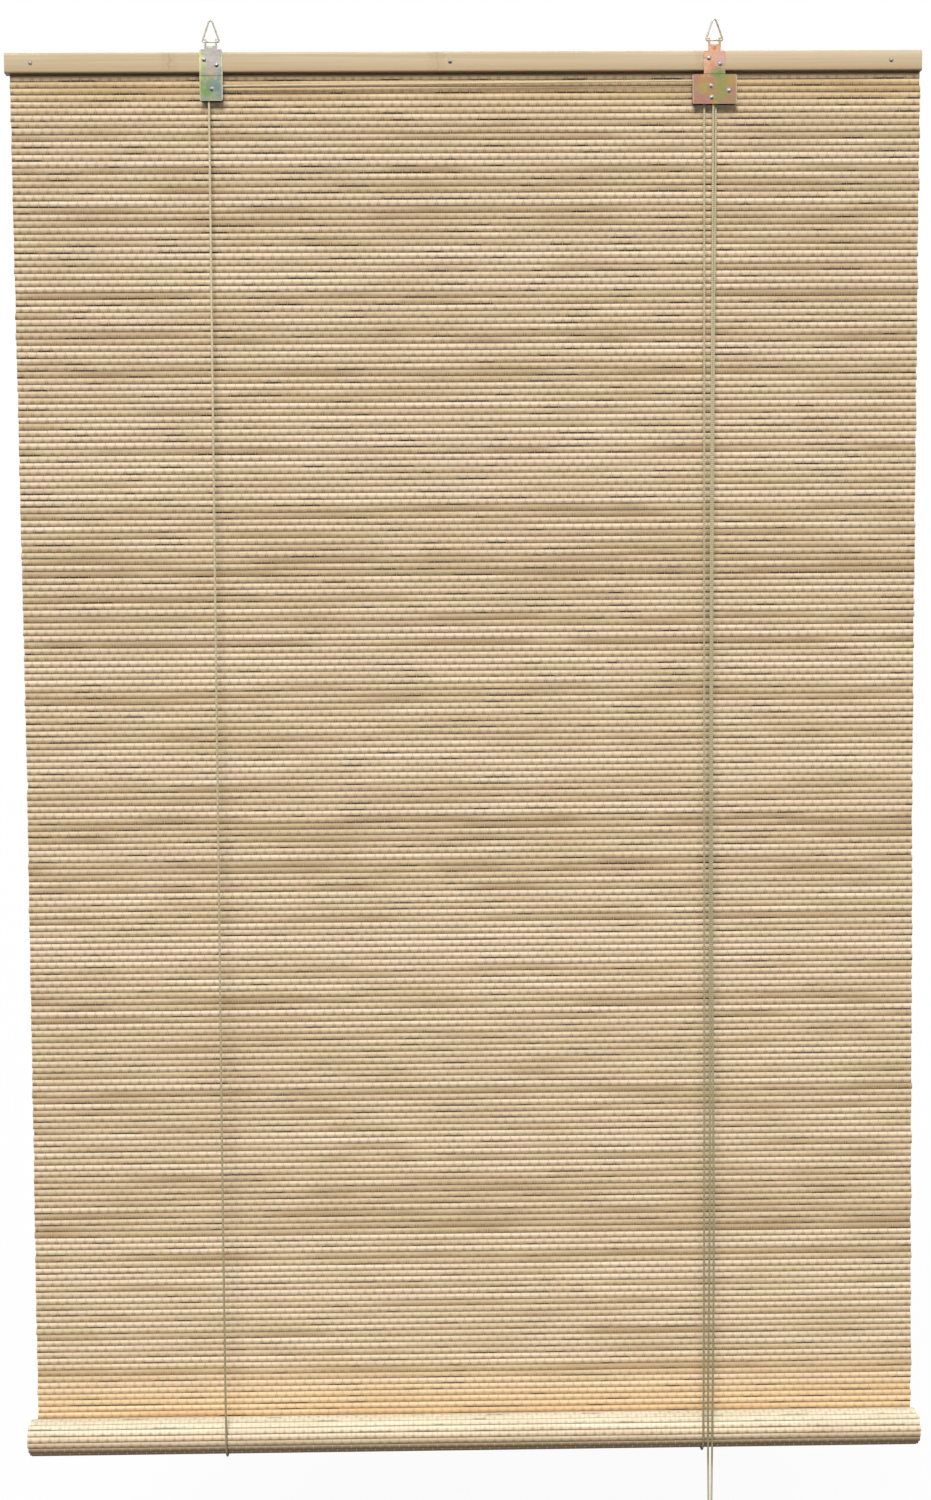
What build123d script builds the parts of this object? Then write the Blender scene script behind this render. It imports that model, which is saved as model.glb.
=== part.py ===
from build123d import *
import os
from math import asin, atan, atan2, ceil, cos, degrees, hypot, pi, radians, sin, sqrt, tan

# A woven bamboo blind that rolls up on two cords. X runs across it, Y back to the wall and Z up.
# The pieces are drawn from the middle of the rail's top edge, with the mat's middle at Y 0, and
# moved at the end, so that the line where two hooks carry the rings is the origin.

# Rail: two laths that clamp the top of the mat
rail_width = 1000.0
rail_height = 22.0
front_lath_thickness = 8.0
back_lath_thickness = 5.0
front_lath_rounding = 2.2
back_lath_rounding = 1.0

# Screws through the rail
left_screw_inset = 28.4
right_screw_inset = 33.8
middle_screw_x = -15.8
screw_depth = 11.0
screw_shank_radius = 1.3
screw_head_radius = 2.6
screw_head_height = 1.5
screw_tip_cover = 1.2

# Mat: one woven wall of split-bamboo slats
mat_thickness = 2.3
mat_top_inset = 2.5
mat_bottom_inset = 8.5
mat_top_margin = 1.0
slat_pitch = 7.0
slat_valley_depth = 0.5
slat_shoulder = 1.2
gap_count = 100
gap_height = 1.0
gap_shortest = 24.0
gap_longest = 80.0
gap_side_margin = 60.0

# Roll: the lower end of the mat, wound on a pole
blind_drop = 1546.0
roll_turns = 1.6
roll_turn_pitch = 2.6
roll_outer_radius = 21.5
roll_inset = 2.0
pole_inset = 5.0
pole_chamfer = 1.5
pole_seat_gap = 0.2
joint_gap = 0.3

# Brackets, riveted to the front lath
left_bracket_inset = 224.3
right_bracket_inset = 227.4
plate_thickness = 1.2
plate_step = 1.0
plate_step_drop = 3.0
plate_top_rise = 2.4
plate_corner = 2.0
left_plate_width = 25.0
left_plate_bottom = 53.0
right_neck_width = 23.4
right_plate_width = 48.6
right_plate_shoulder = 26.2
right_plate_bottom = 58.2
back_plate_thickness = 1.0
back_plate_inset = 0.6
recess_clearance = 0.2

# Rivets: spots are measured from the bracket's middle and down from the rail's top
rivet_radius = 1.5
rivet_head_radius = 2.7
rivet_head_height = 1.6
hole_clearance = 0.1
left_rivet_spots = ((-7.4, 8.4), (6.1, 14.3))
right_rivet_spots = ((-6.1, 8.5), (6.1, 14.8))

# Tongue with two curled ears that hold the ring's lower bar
tongue_width = 13.8
ear_width = 2.2
ear_clearance = 0.3
ear_rise = 11.0
window_rise = 6.3
curl_opening_start = 198.0
curl_opening_end = 250.0

# Hanging rings, bent from wire to a triangle
ring_wire_radius = 1.0
ring_half_base = 9.4
ring_corner_height = 27.0
ring_base_bend = 1.4
ring_top_bend = 2.2

# Cords and pulleys
cord_radius = 1.1
left_loop_drift = 2.2
right_loop_drift = -8.8
cord_clearance = 0.3
groove_clearance = 0.2
groove_half_width = 1.35
groove_flare = 0.2
groove_spacing = 3.5
pulley_side_clearance = 0.3
pulley_bore_clearance = 0.1
pulley_rim = 1.1
axle_radius = 1.25
left_axle_spot = (0.8, 40.0)
left_pulley_pitch_radius = 3.6
left_hub_radius = 2.3
left_disc_width = 3.9
right_axle_spot = (-4.2, 38.8)
right_pulley_pitch_radius = 6.45

# Cord lock: a toothed cam that swings to the pull cords, and a guide pin beside them
pin_spot = (-3.4, 51.0)
pin_radius = 1.0
cam_spot = (15.7, 43.7)
cam_hub_radius = 4.2
cam_nose_reach = 8.7
cam_nose_radius = 4.6
cam_side_clearance = 0.4
cam_jam_angle = 59.5
tooth_count = 7
tooth_depth = 0.55
tooth_step = 14.0

# Pull cords, which hang in front of the roll to a knot
pull_front_gap = 0.4
pull_lower_spacing = 5.4
pull_drift = -13.0
pull_tail = 92.0
knot_radius = 3.9
knot_length = 9.0
knot_spacing = 2.4
knot_seat_gap = 0.1

# Ends of the lifting cords behind the rail
staple_wire_radius = 0.6
staple_depth = 3.6
staple_drop = 12.0
anchor_knot_radius = 2.3

# Places that follow from the sizes
mat_half = mat_thickness / 2
mat_top_width = rail_width - 2 * mat_top_inset
mat_bottom_width = rail_width - 2 * mat_bottom_inset
roll_width = rail_width - 2 * roll_inset
pole_length = rail_width - 2 * pole_inset
screw_spots = (-rail_width / 2 + left_screw_inset, middle_screw_x, rail_width / 2 - right_screw_inset)
lath_front = -mat_half - front_lath_thickness
lath_back = mat_half + back_lath_thickness
step_front = lath_front - plate_step
gap_front = step_front
gap_back = -mat_half - back_plate_thickness
pulley_middle = (gap_front + gap_back) / 2
pulley_width = gap_back - gap_front - 2 * pulley_side_clearance
front_groove = pulley_middle - groove_spacing / 2
back_groove = pulley_middle + groove_spacing / 2
roll_line_radius = roll_outer_radius - mat_half
roll_y = -roll_line_radius
roll_z = -blind_drop + roll_outer_radius
pole_radius = roll_line_radius - roll_turns * roll_turn_pitch - mat_half - pole_seat_gap
loop_radius = roll_outer_radius + cord_clearance + cord_radius
left_x = -rail_width / 2 + left_bracket_inset
right_x = rail_width / 2 - right_bracket_inset
left_axle = (left_x + left_axle_spot[0], -left_axle_spot[1])
right_axle = (right_x + right_axle_spot[0], -right_axle_spot[1])
left_cord_x = left_axle[0] - left_pulley_pitch_radius
right_cord_x = right_axle[0] - right_pulley_pitch_radius
left_loop_x = left_cord_x + left_loop_drift
right_loop_x = right_cord_x + right_loop_drift
pin = (right_x + pin_spot[0], -pin_spot[1])
cam_pivot = (right_x + cam_spot[0], -cam_spot[1])
pin_pass_radius = pin_radius + cord_radius + groove_clearance
pull_y = roll_y - roll_outer_radius - pull_front_gap - cord_radius
housing_low = -right_plate_bottom - cord_radius
pull_end = -blind_drop - pull_tail
ear_inner_radius = ring_wire_radius + ear_clearance
ear_y = lath_front + ear_inner_radius
ring_half_angle = atan(ring_half_base / ring_corner_height)
ring_top = ear_rise + ring_corner_height - ring_top_bend / sin(ring_half_angle) + ring_top_bend
hook_z = ring_top - ring_wire_radius
to_frame = Pos(0, -ear_y, -hook_z)


def side_prism(points, width, middle=0.0):
    """A solid of this side view, given as (y, z) points, and this wide across the blind."""
    face = Plane.YZ * make_face(Polyline(*points, close=True))
    return Pos(middle, 0, 0) * extrude(face, width / 2, both=True)


def front_prism(sketch, y_front, y_back):
    """A solid of this front view, drawn in x and z, between two depths."""
    half = (y_back - y_front) / 2
    return Pos(0, (y_front + y_back) / 2, 0) * extrude(Plane.XZ * sketch, half, both=True)


def cross_pin(radius, y_front, y_back, spot):
    """A round pin that runs from front to back at (x, z)."""
    pin_body = Rot(90, 0, 0) * Cylinder(radius, y_back - y_front)
    return Pos(spot[0], (y_front + y_back) / 2, spot[1]) * pin_body


def domed_head(radius, height, y_seat, spot):
    """A round head that stands forward of its seat, part of a ball."""
    ball_radius = (radius ** 2 + height ** 2) / (2 * height)
    ball = Pos(0, ball_radius - height, 0) * Sphere(ball_radius)
    cap = ball & Pos(0, -height / 2, 0) * Box(3 * radius, height, 3 * radius)
    return Pos(spot[0], y_seat, spot[1]) * cap


def rivet(shank_radius, y_seat, y_end, spot):
    """A rivet with its domed head in front."""
    head = domed_head(rivet_head_radius, rivet_head_height, y_seat, spot)
    return head + cross_pin(shank_radius, y_seat, y_end, spot)


def tube(path, radius):
    """A round cord or wire along a path."""
    start = path @ 0
    return sweep(Plane(origin=start, z_dir=path % 0) * Circle(radius), path=path)


def at_bracket(middle, spots):
    """Spots beside a bracket's middle, as (x, z)."""
    return [(middle + across, -down) for across, down in spots]


# Rail

def front_lath():
    """The front lath, with rounded front edges and recesses for the brackets' back plates."""
    low, high, front, back = -rail_height, 0.0, lath_front, -mat_half
    lath = side_prism([(front, low), (back, low), (back, high), (front, high)], rail_width)
    edges = lath.edges().filter_by(Axis.X).group_by(Axis.Y)[0]
    lath = fillet(edges, front_lath_rounding)
    cuts = [cross_pin(screw_shank_radius + hole_clearance, front - 1, back + 1, spot)
            for spot in screw_places()]
    for middle, width, spots in ((left_x, left_back_width(), left_rivet_spots),
                                 (right_x, right_back_width(), right_rivet_spots)):
        recess = Box(width + 2 * recess_clearance, 2 * back_plate_thickness, 3 * rail_height)
        cuts.append(Pos(middle, back, low / 2) * recess)
        cuts += [cross_pin(rivet_radius + hole_clearance, front - 1, back + 1, spot)
                 for spot in at_bracket(middle, spots)]
    return lath - cuts


def back_lath():
    """The back lath, with holes for the screws and the staples."""
    low, high = -rail_height, 0.0
    lath = side_prism([(mat_half, low), (lath_back, low), (lath_back, high), (mat_half, high)], rail_width)
    lath = fillet(lath.edges().filter_by(Axis.X).group_by(Axis.Y)[-1], back_lath_rounding)
    tip = lath_back - screw_tip_cover
    cuts = [cross_pin(screw_shank_radius + hole_clearance, mat_half - 1, tip, spot) for spot in screw_places()]
    for leg_x in staple_leg_places():
        cuts.append(cross_pin(staple_wire_radius + hole_clearance, lath_back - staple_depth - hole_clearance,
                              lath_back + 1, (leg_x, -staple_drop)))
    return lath - cuts


def screw_places():
    """Where the three screws go through the rail."""
    return [(x, -screw_depth) for x in screw_spots]


def rail_screws():
    """Three round-headed screws, each a solid of its own."""
    tip = lath_back - screw_tip_cover - hole_clearance
    screws = []
    for spot in screw_places():
        head = domed_head(screw_head_radius, screw_head_height, lath_front, spot)
        screws.append(head + cross_pin(screw_shank_radius, lath_front, tip, spot))
    return screws


# Mat and roll

def slat_ridges(length, start=0.0):
    """One side of the mat along its length: (distance, height from the mat's middle) pairs."""
    count = max(1, round(length / slat_pitch))
    pitch = length / count
    valley = mat_half - slat_valley_depth
    points = []
    for index in range(count):
        near = start + index * pitch
        points += [(near, valley), (near + slat_shoulder, mat_half), (near + pitch - slat_shoulder, mat_half)]
    return points + [(start + length, valley)]


def gap_slots(length):
    """Short slots where two slats leave a gap of light between the threads."""
    count = max(1, round(length / slat_pitch))
    pitch = length / count
    first = ceil(rail_height / pitch) + 2
    reach = mat_bottom_width / 2 - gap_side_margin
    slots = []
    for index in range(gap_count):
        valley = first + index * (count - first - 2) // gap_count
        across = (index * 0.618034 + 0.2) % 1.0 * 2 * reach - reach
        width = gap_shortest + (index * 0.754878) % 1.0 * (gap_longest - gap_shortest)
        slot = Box(width, 4 * mat_thickness, gap_height)
        slots.append(Pos(across, 0, -mat_top_margin - valley * pitch) * slot)
    return slots


def bamboo_mat():
    """The hanging mat as one ridged wall, a little narrower at the bottom."""
    low = roll_z + joint_gap
    length = -mat_top_margin - low
    ridges = slat_ridges(length)
    front = [(-height, -mat_top_margin - along) for along, height in ridges]
    back = [(height, -mat_top_margin - along) for along, height in reversed(ridges)]
    wall = side_prism(front + back, mat_top_width + 20)
    half_top, half_low = mat_top_width / 2, mat_bottom_width / 2
    outline = Polygon((-half_top, 0), (half_top, 0), (half_low, low - 1), (-half_low, low - 1), align=None)
    wall = wall & front_prism(outline, -mat_thickness, mat_thickness)
    holes = [cross_pin(screw_shank_radius + hole_clearance, -mat_thickness, mat_thickness, spot)
             for spot in screw_places()]
    return wall - (gap_slots(length) + holes)


def roll_point(along, height):
    """A point of the rolled mat, this far along it and this far out of its middle."""
    shrink = roll_turn_pitch / (2 * pi)
    turn = (roll_line_radius - (roll_line_radius ** 2 - 2 * shrink * along) ** 0.5) / shrink
    radius = roll_line_radius - shrink * turn + height
    return roll_y + radius * cos(turn), roll_z - radius * sin(turn)


def mat_roll():
    """The wound end of the mat: a ridged spiral that starts at the back, where the mat comes down."""
    inner = roll_line_radius - roll_turns * roll_turn_pitch
    length = pi * roll_turns * (roll_line_radius + inner)
    ridges = slat_ridges(length)
    outside = [roll_point(along, height) for along, height in ridges]
    inside = [roll_point(along, -height) for along, height in reversed(ridges)]
    return side_prism(outside + inside, roll_width)


def core_pole():
    """The round wooden pole that the mat is wound on."""
    pole = Rot(0, 90, 0) * Cylinder(pole_radius, pole_length)
    return Pos(0, roll_y, roll_z) * chamfer(pole.edges().filter_by(GeomType.CIRCLE), pole_chamfer)


# Brackets

def stepped_sheet(low, width, middle):
    """The front plate's side view: a sheet on the rail that steps forward below it."""
    front, back = lath_front - plate_thickness, lath_front
    step_top = -rail_height - plate_step_drop
    step_low = step_top - 1.5 * plate_step
    outline = [(front, ear_rise), (front, step_top), (front - plate_step, step_low), (front - plate_step, low),
               (back - plate_step, low), (back - plate_step, step_low), (back, step_top), (back, ear_rise)]
    return side_prism(outline, width, middle)


def curled_ear(middle):
    """The tongue's top, curled back around the ring's lower bar."""
    outer = ear_inner_radius + plate_thickness
    curl = Circle(outer) - Circle(ear_inner_radius)
    reach = 3 * outer
    corners = [(0, 0)] + [(reach * cos(radians(turn)), reach * sin(radians(turn)))
                          for turn in (curl_opening_start, curl_opening_end)]
    curl -= Polygon(*corners, align=None)
    return Pos(middle, ear_y, ear_rise) * extrude(Plane.YZ * curl, tongue_width / 2, both=True)


def front_plate(middle, low, outline, spots):
    """A front plate cut to its outline, with the tongue, the two ears and the rivet holes."""
    tongue = Pos(middle, ear_rise / 2) * Rectangle(tongue_width, ear_rise)
    sheet = stepped_sheet(low, 3 * right_plate_width, middle)
    plate = (sheet & front_prism(outline + tongue, 4 * lath_front, 0)) + curled_ear(middle)
    window = Box(tongue_width - 2 * ear_width, 40, 40)
    cuts = [Pos(middle, ear_y, window_rise + 20) * window]
    cuts += [cross_pin(radius + hole_clearance, 4 * lath_front, 0, spot) for radius, spot in spots]
    return plate - cuts


def left_front_plate():
    """The narrow front plate over the left pulley."""
    height = left_plate_bottom + plate_top_rise
    outline = Pos(left_x, plate_top_rise - height / 2) * RectangleRounded(left_plate_width, height, plate_corner)
    spots = [(rivet_radius, spot) for spot in at_bracket(left_x, left_rivet_spots)]
    return front_plate(left_x, -left_plate_bottom, outline, spots + [(axle_radius, left_axle)])


def right_front_plate():
    """The front plate of the cord lock: a neck on the rail and a wide part below it."""
    neck_height = right_plate_shoulder + plate_top_rise + plate_corner
    neck = Pos(right_x, plate_top_rise - neck_height / 2) * RectangleRounded(
        right_neck_width, neck_height, plate_corner)
    wide_height = right_plate_bottom - right_plate_shoulder
    wide = Pos(right_x, -right_plate_shoulder - wide_height / 2) * RectangleRounded(
        right_plate_width, wide_height, plate_corner)
    spots = [(rivet_radius, spot) for spot in at_bracket(right_x, right_rivet_spots)]
    spots += [(axle_radius, right_axle), (pin_radius, pin), (axle_radius, cam_pivot)]
    return front_plate(right_x, -right_plate_bottom, neck + wide, spots)


def left_back_width():
    """The left back plate stays inside the front plate's outline."""
    return left_plate_width - 2 * back_plate_inset


def right_back_width():
    """The right back plate's neck stays inside the front plate's neck."""
    return right_neck_width - 2 * back_plate_inset


def back_plate(outline, spots):
    """A flat plate between the front lath and the mat."""
    plate = front_prism(outline, gap_back, -mat_half)
    return plate - [cross_pin(radius + hole_clearance, 2 * lath_front, mat_half, spot) for radius, spot in spots]


def left_back_plate():
    """The back cheek of the left pulley."""
    low = left_plate_bottom - back_plate_inset
    outline = Pos(left_x, -back_plate_inset - (low - back_plate_inset) / 2) * RectangleRounded(
        left_back_width(), low - back_plate_inset, plate_corner)
    spots = [(rivet_radius, spot) for spot in at_bracket(left_x, left_rivet_spots)]
    return back_plate(outline, spots + [(axle_radius, left_axle)])


def right_back_plate():
    """The back cheek of the cord lock."""
    top, low = back_plate_inset, right_plate_bottom - back_plate_inset
    shoulder = right_plate_shoulder + back_plate_inset
    neck_height = shoulder + plate_corner - top
    neck = Pos(right_x, -top - neck_height / 2) * RectangleRounded(right_back_width(), neck_height, plate_corner)
    wide = Pos(right_x, -(shoulder + low) / 2) * RectangleRounded(
        right_plate_width - 2 * back_plate_inset, low - shoulder, plate_corner)
    spots = [(rivet_radius, spot) for spot in at_bracket(right_x, right_rivet_spots)]
    spots += [(axle_radius, right_axle), (pin_radius, pin), (axle_radius, cam_pivot)]
    return back_plate(neck + wide, spots)


def lath_rivets(middle, spots):
    """The two rivets that hold a bracket to the front lath."""
    return [rivet(rivet_radius, lath_front - plate_thickness, -mat_half, spot)
            for spot in at_bracket(middle, spots)]


def housing_rivet(radius, spot):
    """A rivet through both cheeks below the rail: an axle, a pivot or a guide pin."""
    return rivet(radius, step_front - plate_thickness, -mat_half, spot)


def hanging_ring(middle):
    """A triangular ring of bent wire, with its lower bar in the ears."""
    base, top = ear_rise, ear_rise + ring_corner_height
    corners = [(middle - ring_half_base, ear_y, base), (middle + ring_half_base, ear_y, base),
               (middle, ear_y, top)]
    path = FilletPolyline(*corners, radius=[ring_base_bend, ring_base_bend, ring_top_bend], close=True)
    return tube(path, ring_wire_radius)


# Pulleys and the lock's cam

def grooved_wheel(spot, pitch_radius, y_front, y_back, grooves, hub=None):
    """A wheel turned about a front-to-back axis, with flat-bottomed grooves at the given depths."""
    bore = axle_radius + pulley_bore_clearance
    rim = pitch_radius + pulley_rim
    floor = pitch_radius - cord_radius - groove_clearance
    profile = [(bore, y_front), (rim, y_front)]
    for groove in grooves:
        wide = groove_half_width + groove_flare
        profile += [(rim, groove - wide), (floor, groove - groove_half_width),
                    (floor, groove + groove_half_width), (rim, groove + wide)]
    profile += [(rim, y_back)]
    if hub:
        hub_radius, hub_back = hub
        profile += [(hub_radius, y_back), (hub_radius, hub_back), (bore, hub_back)]
    else:
        profile += [(bore, y_back)]
    wheel = revolve(make_face(Polyline(*profile, close=True)), Axis.Y, 360)
    return Pos(spot[0], 0, spot[1]) * wheel


def left_pulley():
    """The small pulley, with a hub that keeps its groove in line with the lock's front groove."""
    back = gap_back - pulley_side_clearance
    disc_front = front_groove - left_disc_width / 2
    disc_back = front_groove + left_disc_width / 2
    return grooved_wheel(left_axle, left_pulley_pitch_radius, disc_front, disc_back, [front_groove],
                         (left_hub_radius, back))


def right_pulley():
    """The lock's pulley, with one groove for each cord."""
    front = gap_front + pulley_side_clearance
    return grooved_wheel(right_axle, right_pulley_pitch_radius, front, front + pulley_width,
                         [front_groove, back_groove])


def lock_cam():
    """The toothed cam, hanging straight down from its rivet."""
    nose_middle = Vector(0, -cam_nose_reach)
    hub = Circle(cam_hub_radius)
    nose = Pos(nose_middle.X, nose_middle.Y) * Circle(cam_nose_radius)
    shape = make_hull(hub.edges() + nose.edges())
    face_angle = 180 + cam_jam_angle
    for index in range(tooth_count):
        turn = radians(face_angle + (index - (tooth_count - 1) / 2) * tooth_step)
        notch = Rot(0, 0, degrees(turn) + 45) * Rectangle(tooth_depth * sqrt(2), tooth_depth * sqrt(2))
        tip = nose_middle + Vector(cos(turn), sin(turn)) * cam_nose_radius
        shape -= Pos(tip.X, tip.Y) * notch
    shape -= Circle(axle_radius + pulley_bore_clearance)
    body = front_prism(shape, gap_front + cam_side_clearance, gap_back - cam_side_clearance)
    return Pos(cam_pivot[0], 0, cam_pivot[1]) * body


# Cords

def over_arc(axle, radius, depth, first, last):
    """Part of a cord's way over a pulley, in degrees from +X towards +Z."""
    plane = Plane(origin=(axle[0], depth, axle[1]), x_dir=(1, 0, 0), z_dir=(0, -1, 0))
    return plane * CenterArc((0, 0), radius, first, last - first)


def crossing_cord():
    """The left cord's way over the left pulley, across in front of the mat and over the right pulley."""
    span_x, span_z = right_axle[0] - left_axle[0], right_axle[1] - left_axle[1]
    difference = right_pulley_pitch_radius - left_pulley_pitch_radius
    rise = atan2(span_z, span_x) + asin(difference / hypot(span_x, span_z))
    tangent = 90 + degrees(rise)
    first = over_arc(left_axle, left_pulley_pitch_radius, front_groove, 180, tangent)
    last = over_arc(right_axle, right_pulley_pitch_radius, front_groove, tangent, -pull_lean())
    return tube(Wire([first, Line(first @ 1, last @ 0), last]), cord_radius)


def pull_lean():
    """How far the front pull cord leans in from the pulley to the guide pin, in degrees."""
    across, down = pin[0] - right_axle[0], right_axle[1] - pin[1]
    inset = right_pulley_pitch_radius - pin_pass_radius
    return degrees(asin(inset / hypot(across, down)) - atan2(across, down))


def cord_route(points):
    """A path of straight runs with a large bend at each corner."""
    radii = []
    for before, here, after in zip(points, points[1:], points[2:]):
        run_in, run_out = Vector(*here) - Vector(*before), Vector(*after) - Vector(*here)
        half_turn = radians(run_in.get_angle(run_out) / 2)
        radii.append(0.45 * min(run_in.length, run_out.length) / tan(half_turn))
    print("bend radii", [round(radius, 1) for radius in radii])
    return FilletPolyline(*points, radius=radii)


def lift_strand(axle, pitch_radius, groove, low_x):
    """A lifting cord in front of the mat: straight down from its pulley, then out to the roll's front."""
    x = axle[0] - pitch_radius
    low_y = roll_y - loop_radius
    points = [(x, groove, axle[1]), (x, groove, housing_low), (low_x, low_y, roll_z + joint_gap)]
    return tube(cord_route(points), cord_radius)


def cord_loop(x):
    """A lifting cord's way under the roll, from front to back."""
    plane = Plane(origin=(x, roll_y, roll_z), x_dir=(0, -1, 0), z_dir=(1, 0, 0))
    return tube(plane * CenterArc((0, 0), loop_radius, 0, 180), cord_radius)


def back_strand(x):
    """A lifting cord behind the mat, straight up to its staple on the back lath."""
    top = Vector(x, staple_cord_y(), -staple_drop + anchor_rise())
    low = Vector(x, roll_y + loop_radius, roll_z + joint_gap)
    return tube(Line(low, top), cord_radius)


def staple_cord_y():
    """Where a lifting cord lies on the back lath."""
    return lath_back + cord_radius + hole_clearance


def anchor_rise():
    """How far a cord runs on above its staple."""
    return staple_wire_radius + cord_radius


def staple_leg_places():
    """Where the staples' legs go into the back lath."""
    reach = cord_radius + staple_wire_radius + hole_clearance
    return [x + side * reach for x in (left_loop_x, right_loop_x) for side in (-1, 1)]


def cord_staple(x):
    """A wire staple over a cord's end."""
    reach = cord_radius + staple_wire_radius + hole_clearance
    crown = staple_cord_y() + reach
    tip = lath_back - staple_depth
    corners = [(x - reach, tip, -staple_drop), (x - reach, crown, -staple_drop),
               (x + reach, crown, -staple_drop), (x + reach, tip, -staple_drop)]
    return tube(FilletPolyline(*corners, radius=reach * 0.9), staple_wire_radius)


def anchor_knot(x):
    """The knot in a cord's end, on top of its staple."""
    middle = -staple_drop + anchor_rise() + anchor_knot_radius * 0.8
    knot = Pos(x, lath_back + hole_clearance + anchor_knot_radius, middle) * Sphere(anchor_knot_radius)
    floor = Pos(x, lath_back, -staple_drop + anchor_rise() - anchor_knot_radius) * Box(
        4 * anchor_knot_radius, 6 * anchor_knot_radius, 2 * anchor_knot_radius)
    return knot - floor


def pull_cord_front():
    """The pull cord that ends the left lifting cord: past the guide pin and down in front of the roll."""
    lean = radians(pull_lean())
    start_x = right_axle[0] + right_pulley_pitch_radius * cos(lean)
    start_z = right_axle[1] - right_pulley_pitch_radius * sin(lean)
    pin_x = pin[0] + pin_pass_radius
    pin_z = start_z - (start_x - pin_x) / tan(lean)
    points = [(start_x, front_groove, start_z), (pin_x, front_groove, pin_z), (pin_x, front_groove, housing_low),
              (pull_low_x(-1), pull_y, roll_z), (knot_x(-1), pull_y, pull_end)]
    return tube(cord_route(points), cord_radius)


def pull_cord_back():
    """The pull cord that ends the right lifting cord: over the pulley's back groove and down beside the other."""
    x = right_axle[0] + right_pulley_pitch_radius
    over = over_arc(right_axle, right_pulley_pitch_radius, back_groove, 180, 0)
    points = [(x, back_groove, right_axle[1]), (x, back_groove, housing_low),
              (pull_low_x(1), pull_y, roll_z), (knot_x(1), pull_y, pull_end)]
    return tube(Wire([over] + list(cord_route(points).edges())), cord_radius)


def pull_middle():
    """The middle between the two pull cords at the roll, to the left of where they leave the lock."""
    return (pin[0] + pin_pass_radius + right_axle[0] + right_pulley_pitch_radius) / 2 + pull_drift


def pull_low_x(side):
    """Where a pull cord passes the roll."""
    return pull_middle() + side * pull_lower_spacing / 2


def knot_x(side):
    """Where a pull cord goes into the end knot."""
    return pull_middle() + side * knot_spacing / 2


def end_knot():
    """The knot that joins the two pull cords."""
    half, waist = knot_length / 2, knot_radius * 0.62
    line = Spline((waist, half), (knot_radius, 0), (waist, -half), tangents=((1, -0.6), (-1, -0.6)))
    face = make_face([line, Polyline((waist, -half), (0, -half), (0, half), (waist, half))])
    knot = revolve(Plane.XZ * face, Axis.Z, 360)
    return Pos(pull_middle(), pull_y, pull_end - knot_seat_gap - half) * knot


# Each sub-part is one node; repeated fasteners share a node as separate solids
nodes = {
    "front_rail_lath": [front_lath()],
    "back_rail_lath": [back_lath()],
    "rail_screws": rail_screws(),
    "bamboo_mat": [bamboo_mat()],
    "mat_roll": [mat_roll()],
    "core_pole": [core_pole()],
    "left_front_plate": [left_front_plate()],
    "left_back_plate": [left_back_plate()],
    "left_lath_rivets": lath_rivets(left_x, left_rivet_spots),
    "left_pulley_axle": [housing_rivet(axle_radius, left_axle)],
    "left_pulley": [left_pulley()],
    "left_hanging_ring": [hanging_ring(left_x)],
    "right_front_plate": [right_front_plate()],
    "right_back_plate": [right_back_plate()],
    "right_lath_rivets": lath_rivets(right_x, right_rivet_spots),
    "right_pulley_axle": [housing_rivet(axle_radius, right_axle)],
    "right_pulley": [right_pulley()],
    "cord_guide_pin": [housing_rivet(pin_radius, pin)],
    "cam_rivet": [housing_rivet(axle_radius, cam_pivot)],
    "lock_cam": [lock_cam()],
    "right_hanging_ring": [hanging_ring(right_x)],
    "left_lift_strand": [lift_strand(left_axle, left_pulley_pitch_radius, front_groove, left_loop_x)],
    "right_lift_strand": [lift_strand(right_axle, right_pulley_pitch_radius, back_groove, right_loop_x)],
    "left_cord_loop": [cord_loop(left_loop_x)],
    "right_cord_loop": [cord_loop(right_loop_x)],
    "left_back_strand": [back_strand(left_loop_x)],
    "right_back_strand": [back_strand(right_loop_x)],
    "cord_staples": [cord_staple(left_loop_x), cord_staple(right_loop_x)],
    "anchor_knots": [anchor_knot(left_loop_x), anchor_knot(right_loop_x)],
    "crossing_cord": [crossing_cord()],
    "pull_cord_front": [pull_cord_front()],
    "pull_cord_back": [pull_cord_back()],
    "pull_end_knot": [end_knot()],
}

os.makedirs("parts", exist_ok=True)
for name, pieces in nodes.items():
    solids = [solid for piece in pieces for solid in (to_frame * piece).solids()]
    shape = solids[0] if len(solids) == 1 else Compound(children=solids)
    export_step(shape, f"parts/{name}.step")
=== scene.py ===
from math import asin, atan2, cos, hypot, pi, radians, sin, tan

import bmesh
import bpy
from bpy.props import FloatProperty, FloatVectorProperty, IntProperty, PointerProperty
from mathutils import Matrix, Vector, noise


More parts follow.
